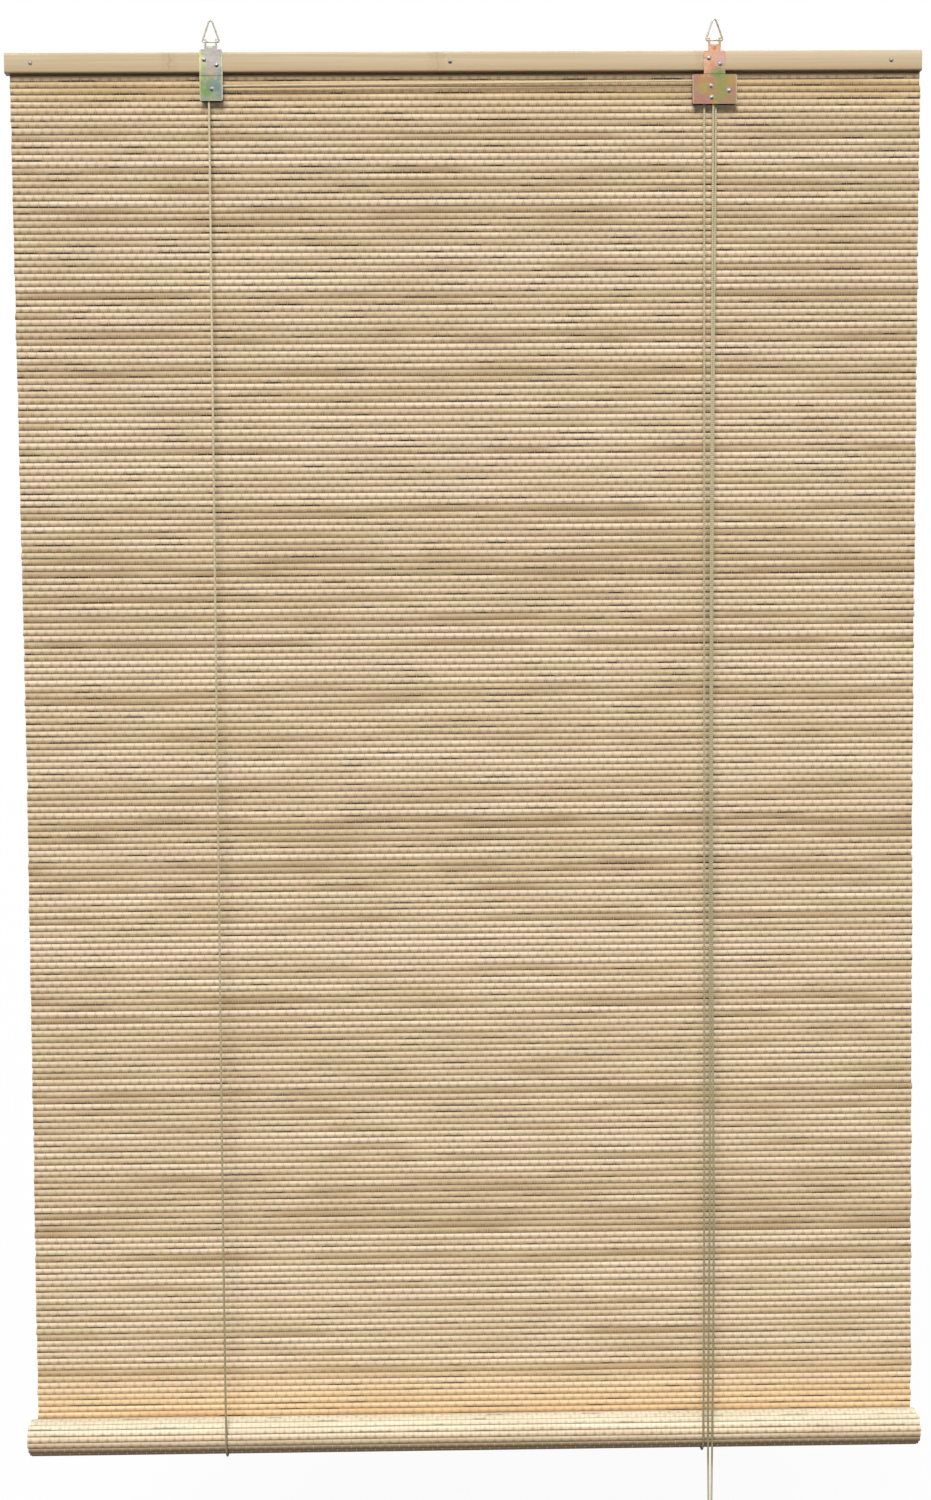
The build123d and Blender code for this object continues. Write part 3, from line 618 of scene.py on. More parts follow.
def nylon_material():
    """Natural nylon, rubbed grey where the cords run."""
    material, tree, shader = new_material("Pulley nylon", Subsurface_Weight=0.08)
    rubbed = patches(tree, object_place(tree), 500.0, 0.45, 0.7)
    fill(tree, shader, {
        "Base Color": blend_colours(tree, rubbed, srgb(226, 220, 202), srgb(178, 168, 144)),
        "Roughness": between(tree, rubbed, 0.35, 0.55),
        "Normal": bump(tree, rubbed, 0.1, 0.0001)})
    return material


def cord_material(name, olive_share):
    """Braided cord of olive and beige strands, with painted shade in its hollows, darker towards the
    bottom, and painted light where it hangs below the roll.
    """
    if name in bpy.data.materials:
        return bpy.data.materials[name]
    colours, sizes = bpy.context.scene.blind_colours, bpy.context.scene.blind_sizes
    material, tree, shader = new_material(name, Sheen_Weight=0.1)
    uv = add_node(tree, "ShaderNodeUVMap").outputs[0]
    braid = use_group(tree, braid_group(), {"UV": uv, "Lay": sizes.braid_lay, "Strands": 2.0})
    where = object_place(tree)
    soil = patches(tree, where, 30.0, 0.4, 0.7)
    beige = between(tree, braid["Stripe"], 1 - olive_share, 1.0)
    two_tone = blend_colours(tree, beige, colours.cord_olive, colours.cord_beige)
    # Painted shade in the hollows of the braid.
    hollow = spread(tree, braid["Height"], 0.3, 0.0, 0.0, 0.35)
    shaded = blend_colours(tree, hollow, two_tone, srgb(112, 104, 72))
    soiled = blend_colours(tree, times(tree, soil, 0.2), shaded, srgb(168, 158, 122))
    _, _, up = separate(tree, where)
    # Darker towards the bottom.
    low_down = spread(tree, up, height(-250), height(-1450), 0.0, 0.75, smooth=False)
    darker_low = blend_colours(tree, low_down, soiled, srgb(126, 116, 76))
    # Painted light: the cords are paler where they hang below the roll.
    below_roll = spread(tree, up, height(-1546), height(-1570), 0.0, 0.5)
    lit = blend_colours(tree, below_roll, darker_low, srgb(222, 212, 180))
    fill(tree, shader, {
        "Base Color": lit, "Roughness": between(tree, braid["Height"], 0.9, 0.7),
        "Normal": bump(tree, braid["Height"], 0.6, 0.0004)})
    return material


def finish_nodes(material, *names):
    """Gives CAD nodes that stay as they are a material."""
    for name in names:
        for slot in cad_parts[name].material_slots:
            slot.material = material


def add_piece(name, mesh, material, smooth=True):
    """A finished mesh as an object of the scene, in place, with its material."""
    data = bpy.data.meshes.new(name)
    mesh.to_mesh(data)
    mesh.free()
    data.materials.append(material)
    if smooth:
        data.shade_smooth()
    else:
        data.shade_flat()
    made = bpy.data.objects.new(name, data)
    bpy.context.scene.collection.objects.link(made)
    return made


# Mat

HANG_LENGTH = -MAT_TOP - (ROLL_Z + JOINT_GAP)
ROLL_LENGTH = pi * ROLL_TURNS * (2 * ROLL_LINE_RADIUS - ROLL_TURNS * ROLL_TURN_PITCH)
PROFILE = ((0.5, 0.0), (0.36, -0.74), (0.06, -1.0), (-0.30, -0.88), (-0.5, -0.04),
           (-0.34, 0.84), (0.0, 1.0), (0.34, 0.80))


def hanging_rows():
    """How many slats hang between the rail's top and the roll."""
    sizes = bpy.context.scene.blind_sizes
    return round(HANG_LENGTH * MM * 2 / (sizes.slat_pitch_top + sizes.slat_pitch_low))


def roll_rows():
    """How many slats are wound on the roll."""
    return round(ROLL_LENGTH * MM / bpy.context.scene.blind_sizes.slat_pitch_low)


def clamped_rows():
    """How many slats the rail holds."""
    return round((RAIL_HEIGHT - MAT_TOP) * MM / bpy.context.scene.blind_sizes.slat_pitch_top)


def seam(row, x):
    """How far along the mat the upper seam of a slat lies at x, in millimetres."""
    sizes, rows = bpy.context.scene.blind_sizes, hanging_rows()
    if row <= rows:
        top, low = sizes.slat_pitch_top, sizes.slat_pitch_low
        along = (row * top + (low - top) * row ** 2 / (2 * rows)) * HANG_LENGTH / (rows * (top + low) / 2)
    else:
        along = HANG_LENGTH + (row - rows) * ROLL_LENGTH / roll_rows()
    strays = 0 < row < rows + roll_rows() and row not in (clamped_rows(), rows)
    waver = sizes.slat_waver / MM * noise.noise(Vector((x * 0.006, row * 3.7, 0.4))) if strays else 0.0
    return along + waver


def roll_turn(along):
    """How far round the roll the mat has gone here, in radians from the back, where it comes down."""
    shrink = ROLL_TURN_PITCH / (2 * pi)
    return (ROLL_LINE_RADIUS - (ROLL_LINE_RADIUS ** 2 - 2 * shrink * (along - HANG_LENGTH)) ** 0.5) / shrink


def mat_point(x, along, out):
    """The frame's point on the mat at x, this far along it and this far out of its middle, to the back."""
    if along <= HANG_LENGTH:
        return place(x, out, -MAT_TOP - along)
    turn = roll_turn(along)
    radius = ROLL_LINE_RADIUS - ROLL_TURN_PITCH / (2 * pi) * turn + out
    return place(x, ROLL_Y + radius * cos(turn), ROLL_Z - radius * sin(turn))


def slat_ends(row):
    """Where a slat starts and ends, in millimetres: the mat narrows downwards and the ends are uneven."""
    uneven = noise.noise(Vector((3.1, row * 5.3, 0.0))), noise.noise(Vector((9.7, row * 5.3, 0.0)))
    if row < hanging_rows():
        share = min(row / hanging_rows() * 2, 1.0)
        left, right = MAT_LEFT + NARROWING_LEFT * share, MAT_RIGHT - NARROWING_RIGHT * share
    else:
        right = ROLL_HALF_WIDTH - ROLL_END_INSET - ROLL_END_SWAY * (1 + cos(roll_turn(seam(row, 0))))
        left = -right
    return left + END_WAVER * uneven[0], right + END_WAVER * uneven[1]


def sharpen_ends(mesh):
    """Keeps the flat ends of slats and cords out of the shading of their sides."""
    for face in mesh.faces:
        if len(face.verts) > 4:
            for edge in face.edges:
                edge.smooth = False


def slat_pattern(upright):
    """One slat of unit size along X, closed at both ends; V grows towards the side that looks up."""
    shape = bmesh.new()
    uv = shape.loops.layers.uv.new("UVMap")
    ring = bmesh.ops.create_circle(shape, cap_ends=True, segments=len(PROFILE), radius=0.5)["verts"]
    for vert, (across, depth) in zip(ring, PROFILE):
        vert.co = (0.0, depth, across)
    cap = shape.faces[:]
    far = bmesh.ops.extrude_face_region(shape, geom=cap, use_keep_orig=True)["geom"]
    far_verts = [item for item in far if isinstance(item, bmesh.types.BMVert)]
    bmesh.ops.translate(shape, vec=(1, 0, 0), verts=far_verts)
    long_edges = [edge for edge in shape.edges if abs(edge.verts[0].co.x - edge.verts[1].co.x) > 0.5]
    cuts = bpy.context.scene.blind_sizes.slat_segments - 1
    bmesh.ops.subdivide_edges(shape, edges=long_edges, cuts=cuts, use_grid_fill=True)
    bmesh.ops.recalc_face_normals(shape, faces=shape.faces)
    sharpen_ends(shape)
    for face in shape.faces:
        for loop in face.loops:
            loop[uv].uv = (loop.vert.co.x, 0.5 + (loop.vert.co.z if upright else -loop.vert.co.z))
    pattern = bpy.data.meshes.new("slat_pattern")
    shape.to_mesh(pattern)
    shape.free()
    return pattern


def lay_slats(first_row, last_row):
    """Slats side by side between two rows, each with its tone, ends and uneven seams."""
    mesh = bmesh.new()
    wound = first_row >= hanging_rows()
    pattern = slat_pattern(not wound)
    tint = mesh.verts.layers.float.new("tint")
    number = mesh.verts.layers.float.new("row")
    hanging = mesh.verts.layers.float.new("hanging")
    for row in range(first_row, last_row):
        known = len(mesh.verts)
        mesh.from_mesh(pattern)
        mesh.verts.ensure_lookup_table()
        start, end = slat_ends(row)
        # Wound slats are painted paler: light on the roll painted into their tone.
        tone = SLAT_TONE + noise.noise(Vector((row * 2.3, 0.7, 5.1))) + (WOUND_PALER if wound else 0.0)
        thick = 1.0 - THINNEST_BY * abs(noise.noise(Vector((row * 1.9, 4.4, 0.0))))
        for vert in mesh.verts[known:]:
            share, depth, across = vert.co
            x = start + (end - start) * share
            high, low = seam(row, x), seam(row + 1, x)
            along = high + (low - high) * (0.5 - across * SLAT_SHARE)
            vert.co = mat_point(x, along, depth * thick * HALF_THICKNESS)
            vert[tint] = tone
            vert[number] = row
            vert[hanging] = 0.0 if wound else 1.0
    bpy.data.meshes.remove(pattern)
    return mesh


def thread_columns():
    """Where the warp threads run, in millimetres, with the first few millimetres left free."""
    pitch = bpy.context.scene.blind_sizes.thread_pitch / MM
    count = int(2 * THREADED_HALF_WIDTH / pitch)
    return [(index - (count - 1) / 2) * pitch for index in range(count)]


def weave_threads(columns, first_row, last_row):
    """Warp threads over and under the slats, one flat ribbon a thread."""
    mesh = bmesh.new()
    width = bpy.context.scene.blind_sizes.thread_width / MM
    pitch = bpy.context.scene.blind_sizes.thread_pitch / MM
    for x in columns:
        stations = []
        for row in range(first_row, last_row):
            side = 1 if (row + round(x / pitch)) % 2 else -1
            high, low = seam(row, x), seam(row + 1, x)
            out = side * (HALF_THICKNESS + THREAD_RISE)
            stations += [(high, 0.0), (high + (low - high) * 0.2, out), (high + (low - high) * 0.8, out)]
        stations.append((seam(last_row, x), 0.0))
        last = len(stations) - 1
        ribbon = bmesh.ops.create_grid(mesh, x_segments=1, y_segments=last, size=0.5)["verts"]
        for vert in ribbon:
            along, out = stations[round((0.5 - vert.co.y) * last)]
            vert.co = mat_point(x + vert.co.x * width, along, out)
    return mesh


def squash_to_rail(piece):
    """Attaches a piece to the rail and gives it a mesh of its own."""
    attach(piece, "headrail")
    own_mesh(piece)


class BLIND_OT_mat(bpy.types.Operator):
    """Weave the mat: slats clamped in the rail, slats that hang, and the warp threads"""

    bl_idname = "blind.mat"
    bl_label = "Weave the mat"

    def execute(self, context):
        rows, clamped = hanging_rows(), clamped_rows()
        held = add_piece("mat_clamped_slats", lay_slats(0, clamped), slat_material())
        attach(held, "headrail")
        slats = add_piece("mat_hanging_slats", lay_slats(clamped, rows), slat_material())
        columns = thread_columns()
        half = len(columns) // 2
        pieces = [slats]
        for side, part in (("left", columns[:half]), ("right", columns[half:])):
            threads = weave_threads(part, clamped, rows)
            pieces.append(add_piece(f"mat_threads_{side}", threads, thread_material()))
        for piece in pieces:
            squash_to_rail(piece)
        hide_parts("bamboo_mat")
        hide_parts("bamboo_mat")
        return {"FINISHED"}


class BLIND_OT_roll(bpy.types.Operator):
    """Wind the lower end of the mat on its pole"""

    bl_idname = "blind.roll"
    bl_label = "Wind the roll"

    def execute(self, context):
        first = hanging_rows()
        last = first + roll_rows()
        slats = add_piece("roll_slats", lay_slats(first, last), slat_material())
        weave = weave_threads(thread_columns(), first, last)
        threads = add_piece("roll_threads", weave, thread_material())
        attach(slats, "roll")
        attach(threads, "roll")
        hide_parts("mat_roll")
        finish_nodes(pole_material(), "core_pole")
        return {"FINISHED"}


class BLIND_OT_rail(bpy.types.Operator):
    """Finish the two laths of the rail and its screws"""

    bl_idname = "blind.rail"
    bl_label = "Finish the rail"

    def execute(self, context):
        finish_nodes(rail_material(), "front_rail_lath", "back_rail_lath")
        screws = metal_material("Screw steel", srgb(190, 184, 178), srgb(120, 112, 104), 0.24, 0.4,
                                0.25, SCREW_SPOTS)
        finish_nodes(screws, "rail_screws")
        return {"FINISHED"}


class BLIND_OT_brackets(bpy.types.Operator):
    """Finish the plates, the rivets and the hanging rings"""

    bl_idname = "blind.brackets"
    bl_label = "Finish the brackets"

    def execute(self, context):
        left = zinc_material("Left plate zinc", LEFT_X, LEFT_HALF_WIDTH, [
            (0.05, srgb(146, 146, 78)), (0.25, srgb(112, 126, 82)), (0.45, srgb(122, 116, 118)),
            (0.65, srgb(98, 108, 114)), (0.9, srgb(138, 146, 104))], [
            (LEFT_X - 11, -7, 9, srgb(172, 168, 78)), (LEFT_X + 1, -7, 16, srgb(142, 136, 138)),
            (LEFT_X - 7, -42, 18, srgb(78, 108, 50)), (LEFT_X + 7, -40, 11, srgb(72, 95, 100)),
            # The last spot, at the top of the tongue, is a painted highlight on its fold.
            (LEFT_X + 1, -20, 6, srgb(142, 120, 114)), (LEFT_X, 8, 4, srgb(200, 206, 190))])
        right = zinc_material("Right plate zinc", RIGHT_X, RIGHT_HALF_WIDTH, [
            (0.0, srgb(138, 92, 90)), (0.3, srgb(146, 98, 66)), (0.5, srgb(136, 114, 62)),
            (0.7, srgb(118, 112, 62)), (1.0, srgb(142, 94, 82))], [
            (RIGHT_X - 3, -5, 26, srgb(187, 137, 115)), (RIGHT_X + 9, -12, 11, srgb(172, 130, 134)),
            (RIGHT_X + 4, -26, 10, srgb(82, 114, 60)), (RIGHT_X - 23, -42, 8, srgb(136, 92, 100)),
            (RIGHT_X - 13, -41, 11, srgb(136, 116, 60)), (RIGHT_X + 7, -41, 12, srgb(114, 112, 60)),
            (RIGHT_X + 17, -34, 9, srgb(136, 116, 54)), (RIGHT_X, 2.6, 3, srgb(152, 92, 52)),
            # A painted highlight on the fold at the top of the tongue.
            (RIGHT_X, 8, 4, srgb(224, 196, 176))])
        finish_nodes(left, "left_front_plate")
        # The back plates are painted near-black: painted shade of the hollow behind the front plates.
        backs = metal_material("Back plate zinc", srgb(56, 48, 34), srgb(38, 31, 22), 0.4, 0.6, 0.5)
        finish_nodes(backs, "left_back_plate", "right_back_plate")
        self.lowered_shoulders(right)
        heads = [*RIVET_SPOTS, LEFT_AXLE, RIGHT_AXLE, GUIDE_PIN, CAM_PIVOT]
        rivets = metal_material("Rivet steel", srgb(214, 210, 208), srgb(150, 144, 140), 0.22, 0.36,
                                0.3, heads)
        finish_nodes(rivets, "left_lath_rivets", "right_lath_rivets", "left_pulley_axle",
                     "right_pulley_axle", "cord_guide_pin", "cam_rivet")
        wire = metal_material("Ring wire", srgb(184, 174, 156), srgb(134, 124, 106), 0.25, 0.45)
        finish_nodes(wire, "left_hanging_ring", "right_hanging_ring", "cord_staples")
        return {"FINISHED"}

    def lowered_shoulders(self, material):
        """The right front plate, with the shoulders beside its tongue just below the rail's top edge."""
        mesh = bmesh.new()
        mesh.from_mesh(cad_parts["right_front_plate"].data)
        bmesh.ops.remove_doubles(mesh, verts=mesh.verts, dist=0.001 * MM)
        for vert in mesh.verts:
            beside, above = abs(vert.co.x / MM - RIGHT_X), (vert.co.z - RAIL_TOP) / MM
            if beside > TONGUE_HALF_WIDTH - 0.1 and -0.5 < above < SHOULDER_RISE + 0.1:
                vert.co.z -= SHOULDER_DROP * MM
        plate = add_piece("right_front_sheet", mesh, material, smooth=False)
        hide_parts("right_front_plate")
        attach(plate, "headrail")


class BLIND_OT_lock(bpy.types.Operator):
    """Finish the pulleys and the toothed cam of the cord lock"""

    bl_idname = "blind.lock"
    bl_label = "Finish the cord lock"

    def execute(self, context):
        finish_nodes(nylon_material(), "left_pulley", "right_pulley")
        cam = metal_material("Cam steel", srgb(190, 184, 160), srgb(136, 128, 104), 0.3, 0.5)
        finish_nodes(cam, "lock_cam")
        return {"FINISHED"}


# Cords

def route_line(points, resolution=24):
    """Points along the smooth line that a cord's route controls, in metres."""
    curve = bpy.data.curves.new("route", "CURVE")
    curve.dimensions = "3D"
    curve.resolution_u = resolution
    spline = curve.splines.new("NURBS")
    spline.points.add(len(points) - 1)
    for point, where in zip(spline.points, points):
        point.co = (*where, 1.0)
    spline.order_u = 3
    spline.use_endpoint_u = True
    route = bpy.data.objects.new("route", curve)
    line = bpy.data.meshes.new_from_object(route)
    found = [vert.co.copy() for vert in line.vertices]
    bpy.data.objects.remove(route)
    bpy.data.curves.remove(curve)
    bpy.data.meshes.remove(line)
    return found


def split_line(line, z):
    """A line that goes down, cut in two at a height."""
    index = next(i for i, point in enumerate(line) if point.z < z)
    before, after = line[index - 1], line[index]
    cut = before.lerp(after, (before.z - z) / (before.z - after.z))
    upper = line[:index] if (line[index - 1] - cut).length > 1e-6 else line[:index - 1]
    lower = line[index:] if (line[index] - cut).length > 1e-6 else line[index + 1:]
    return upper + [cut], [cut] + lower


def ring_matrix(line, index, level):
    """Where a cord's section stands at a point of its line; level is a direction that the line crosses."""
    before, after = line[max(index - 1, 0)], line[min(index + 1, len(line) - 1)]
    ahead = (after - before).normalized()
    side = (level - ahead * level.dot(ahead)).normalized()
    turned = Matrix((side, ahead.cross(side), ahead)).transposed().to_4x4()
    return Matrix.Translation(line[index]) @ turned


def ring_marks(verts, matrix, travelled):
    """Each vert's step round its ring, with how far down the cord the ring is."""
    local = matrix.inverted()
    marks = {}
    for vert in verts:
        spot = local @ vert.co
        marks[vert] = (round(atan2(spot.y, spot.x) / (2 * pi) * CORD_SIDES) % CORD_SIDES, travelled)
    return marks


def add_tube(mesh, line, radius, level):
    """A round tube along a line, closed at both ends, with U round it and V along it in metres."""
    uv = mesh.loops.layers.uv.get("UVMap") or mesh.loops.layers.uv.new("UVMap")
    frames = [ring_matrix(line, index, level) for index in range(len(line))]
    ring = bmesh.ops.create_circle(
        mesh, cap_ends=True, segments=CORD_SIDES, radius=radius, matrix=frames[0])["verts"]
    cap = ring[0].link_faces[0]
    start_cap = cap.copy()
    start_cap.normal_flip()
    travelled = 0.0
    marks = ring_marks(ring, frames[0], travelled)
    made = []
    for before, after, here, there in zip(frames, frames[1:], line, line[1:]):
        travelled += (there - here).length
        moved = bmesh.ops.extrude_face_region(mesh, geom=[cap])["geom"]
        cap = next(item for item in moved if isinstance(item, bmesh.types.BMFace))
        verts = [item for item in moved if isinstance(item, bmesh.types.BMVert)]
        bmesh.ops.transform(mesh, matrix=after @ before.inverted(), verts=verts)
        marks.update(ring_marks(verts, after, travelled))
        made += [face for vert in verts for face in vert.link_faces if len(face.verts) == 4]
    for face in set(made):
        steps = [marks[loop.vert][0] for loop in face.loops]
        wraps = max(steps) - min(steps) > 1
        for loop, step in zip(face.loops, steps):
            step = CORD_SIDES if wraps and step == 0 else step
            loop[uv].uv = (step / CORD_SIDES, marks[loop.vert][1])


def add_knot(mesh, middle, radius, length, strand):
    """An overhand knot pulled tight: a strand that goes three times over itself."""
    reach = (radius - strand) / 3
    rise = length / 2 - strand
    line = []
    for step in range(49):
        turn = step / 48 * 2 * pi
        across, back = sin(turn) + 2 * sin(2 * turn), cos(turn) - 2 * cos(2 * turn)
        up = -sin(3 * turn)
        line.append(place(middle[0] + across * reach, middle[1] + back * reach, middle[2] + up * rise))
    add_tube(mesh, line, strand * MM, Vector((0.3, 0.2, 0.95)))


def add_cord(name, line, level=Vector((1, 0, 0)), olive_share=1.0):
    """A cord's piece along a line of points; the left cord shows less of its olive strands."""
    mesh = bmesh.new()
    add_tube(mesh, line, CORD_RADIUS * MM, level)
    bmesh.ops.recalc_face_normals(mesh, faces=mesh.faces)
    sharpen_ends(mesh)
    material = cord_material("Braided cord" if olive_share == 1.0 else "Pale braided cord", olive_share)
    return add_piece(name, mesh, material)


def arc_line(centre, radius, depth, first, last, steps):
    """Points on an arc in a plane across the blind, in degrees from +X towards +Z."""
    turns = [radians(first + (last - first) * step / steps) for step in range(steps + 1)]
    return [place(centre[0] + radius * cos(turn), depth, centre[1] + radius * sin(turn)) for turn in turns]


def crossing_line():
    """The left cord's way over the left pulley, across the mat and over the right pulley."""
    span_x, span_z = RIGHT_AXLE[0] - LEFT_AXLE[0], RIGHT_AXLE[1] - LEFT_AXLE[1]
    difference = RIGHT_PITCH_RADIUS - LEFT_PITCH_RADIUS
    tangent = 90 + (atan2(span_z, span_x) + asin(difference / hypot(span_x, span_z))) * 180 / pi
    first = arc_line(LEFT_AXLE, LEFT_PITCH_RADIUS, GROOVE_FRONT, 180, tangent, 8)
    last = arc_line(RIGHT_AXLE, RIGHT_PITCH_RADIUS, GROOVE_FRONT, tangent, -pull_lean(), 12)
    between = [first[-1].lerp(last[0], step / 24) for step in range(1, 24)]
    return first + between + last


def pull_lean():
    """How far the front pull cord leans in from the pulley to the guide pin, in degrees."""
    across, down = GUIDE_PIN[0] - RIGHT_AXLE[0], RIGHT_AXLE[1] - GUIDE_PIN[1]
    tangent = asin((RIGHT_PITCH_RADIUS - PIN_PASS_RADIUS) / hypot(across, down))
    return (tangent - atan2(across, down)) * 180 / pi


def loop_line(x):
    """A lifting cord's way under the roll, from front to back."""
    turns = [pi * step / 20 for step in range(21)]
    return [place(x, ROLL_Y - LOOP_RADIUS * cos(turn), ROLL_Z - LOOP_RADIUS * sin(turn)) for turn in turns]


def bowed_points(x, groove, low_x, drifts=(0.0, 0.0, 0.0, 0.0)):
    """A strand's points before the mat, bowed forward so that it also clears the roll when that is up."""
    bow = ((0.31, (groove - 32.5) / 2), (0.62, -32.5), (0.75, -40.2), (0.88, -43.3))
    return [(x, groove, HOUSING_LOW)] + [
        (x + share * (low_x - x) + drift, depth, HOUSING_LOW + share * (ROLL_Z - HOUSING_LOW))
        for (share, depth), drift in zip(bow, drifts)]


class BLIND_OT_lift_cords(bpy.types.Operator):
    """Run the lifting cords over the pulleys, down the mat, under the roll and up to their staples"""

    bl_idname = "blind.lift_cords"
    bl_label = "Run the lifting cords"

    def execute(self, context):
        crossing = add_cord("crossing_braid", crossing_line(), Vector((0, 1, 0)), PALE_SHARE)
        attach(crossing, "headrail")
        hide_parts("crossing_cord")
        strands = (("left", LEFT_CORD_X, LEFT_LOOP_X, LEFT_AXLE[1], GROOVE_FRONT),
                   ("right", RIGHT_CORD_X, RIGHT_LOOP_X, RIGHT_AXLE[1], GROOVE_BACK))
        for side, x, low_x, axle_z, groove in strands:
            self.front_strand(side, [
                place(x, groove, axle_z), *(place(*point) for point in bowed_points(x, groove, low_x)),
                place(low_x, ROLL_Y - LOOP_RADIUS, ROLL_Z)])
            loop = add_cord(f"{side}_loop_braid", loop_line(low_x))
            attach(loop, "cord_slings")
            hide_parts(f"{side}_cord_loop")
            self.rear_strand(side, low_x)
        return {"FINISHED"}

    def front_strand(self, side, points):
        """The strand before the mat, in two pieces: its upper end stays in the bracket and the rest hangs
        below it.
        """
        upper, lower = split_line(route_line(points), height(HOUSING_LOW))
        olive_share = PALE_SHARE if side == "left" else 1.0
        held = add_cord(f"{side}_lift_braid_top", upper, olive_share=olive_share)
        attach(held, "headrail")
        hanging = add_cord(f"{side}_lift_braid", lower, olive_share=olive_share)
        squash_to_rail(hanging)
        for piece in (held, hanging):
            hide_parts(f"{side}_lift_strand")

    def rear_strand(self, side, x):
        """The strand behind the mat, up to its staple and the knot above it."""
        low = place(x, ROLL_Y + LOOP_RADIUS, ROLL_Z)
        staple = place(x, STAPLE_CORD_Y, -STAPLE_DROP)
        hanging = add_cord(f"{side}_rear_braid", [staple.lerp(low, step / 40) for step in range(41)])
        squash_to_rail(hanging)
        end = add_cord(f"{side}_rear_braid_top", [staple + Vector((0, 0, STAPLE_TUCK * MM)), staple])
        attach(end, "headrail")
        for piece in (hanging, end):
            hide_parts(f"{side}_back_strand")
        mesh = bmesh.new()
        add_knot(mesh, (x, STAPLE_CORD_Y + 1.1, -STAPLE_DROP + 3.6), radius=2.5, length=4.4, strand=0.8)
        bmesh.ops.recalc_face_normals(mesh, faces=mesh.faces)
        knot = add_piece(f"{side}_anchor_braid", mesh, cord_material("Braided cord", 1.0))
        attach(knot, "headrail")
        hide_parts("anchor_knots")


class BLIND_OT_pull_cords(bpy.types.Operator):
    """Run the two pull cords from the lock, in front of the roll and down to their knot"""

    bl_idname = "blind.pull_cords"
    bl_label = "Run the pull cords"

    def execute(self, context):
        mesh = bmesh.new()
        add_knot(mesh, KNOT_MIDDLE, radius=3.9, length=9.0, strand=1.15)
        for side, x in zip((-1, 1), KNOT_X):
            tail = route_line([place(x, PULL_Y, PULL_END - 6), place(x + side * 0.6, PULL_Y, PULL_END - 11),
                               place(x + side * 2.2, PULL_Y - 0.8, PULL_END - 17)], 8)
            add_tube(mesh, tail, CORD_RADIUS * MM, Vector((1, 0, 0)))
        bmesh.ops.recalc_face_normals(mesh, faces=mesh.faces)
        knot = add_piece("pull_knot_braid", mesh, cord_material("Braided cord", 1.0))
        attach(knot, "headrail")
        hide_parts("pull_end_knot")
        for name, points in (("front", self.front_route()), ("back", self.back_route())):
            self.run(name, points, knot)
        return {"FINISHED"}

    def front_route(self):
        """The cord that comes across from the left: off the pulley and past the guide pin."""
        lean = radians(pull_lean())
        start_x = RIGHT_AXLE[0] + RIGHT_PITCH_RADIUS * cos(lean)
        start_z = RIGHT_AXLE[1] - RIGHT_PITCH_RADIUS * sin(lean)
        pin_x = GUIDE_PIN[0] + PIN_PASS_RADIUS
        pin_z = start_z - (start_x - pin_x) / tan(lean)
        return [(start_x, GROOVE_FRONT, start_z), (pin_x, GROOVE_FRONT, pin_z),
                *bowed_points(pin_x, GROOVE_FRONT, PULL_LOW_X[0] + 1.1, (-1.2, -0.8, 0.0, 0.0)),
                (PULL_LOW_X[0], PULL_Y - 0.9, ROLL_Z), (KNOT_X[0], PULL_Y, PULL_END)]

    def back_route(self):
        """The cord from the right pulley's back groove."""
        x = RIGHT_AXLE[0] + RIGHT_PITCH_RADIUS
        return [(x, GROOVE_BACK, RIGHT_AXLE[1]),
                *bowed_points(x, GROOVE_BACK, PULL_LOW_X[1] + 1.0, (-3.2, -3.2, -1.2, 0.0)),
                (PULL_LOW_X[1], PULL_Y - 0.9, ROLL_Z), (KNOT_X[1], PULL_Y, PULL_END)]

    def run(self, name, points, knot):
        """One pull cord in three pieces: held in the lock, before the mat and below the roll."""
        line = route_line([place(*point) for point in points])
        held, rest = split_line(line, height(HOUSING_LOW))
        middle, low = split_line(rest, height(ROLL_Z))
        if name == "back":
            over = arc_line(RIGHT_AXLE, RIGHT_PITCH_RADIUS, GROOVE_BACK, 180, 0, 16)
            held = over[:-1] + held
        top = add_cord(f"pull_{name}_braid_top", held, Vector((0, 1, 0)))
        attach(top, "headrail")
        upper = add_cord(f"pull_{name}_braid", middle)
        squash_to_rail(upper)
        lower = add_cord(f"pull_{name}_braid_low", low)
        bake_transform(lower)
        for piece in (top, upper, lower):
            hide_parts(f"pull_cord_{name}")


# Stage

IMAGE_HEIGHT_PX = 1500
FOCAL_LENGTH_PX = 2400
CAMERA_SPOT = (-52.3, -2659.1, -616.2)
CAMERA_YAW, CAMERA_PITCH, CAMERA_ROLL = 1.027, -3.15, -0.44
FLOOR_LEVEL, FLOOR_SIZE, FLOOR_GLOW = -1.95, 12, 0.93


def seen_directly(tree):
    """1 where a surface is seen, in reflections and through glass too, and 0 where it lights another."""
    path = add_node(tree, "ShaderNodeLightPath").outputs
    seen = calculate(tree, "MAXIMUM", path["Is Camera Ray"], path["Is Glossy Ray"])
    return calculate(tree, "MAXIMUM", seen, path["Is Transmission Ray"])


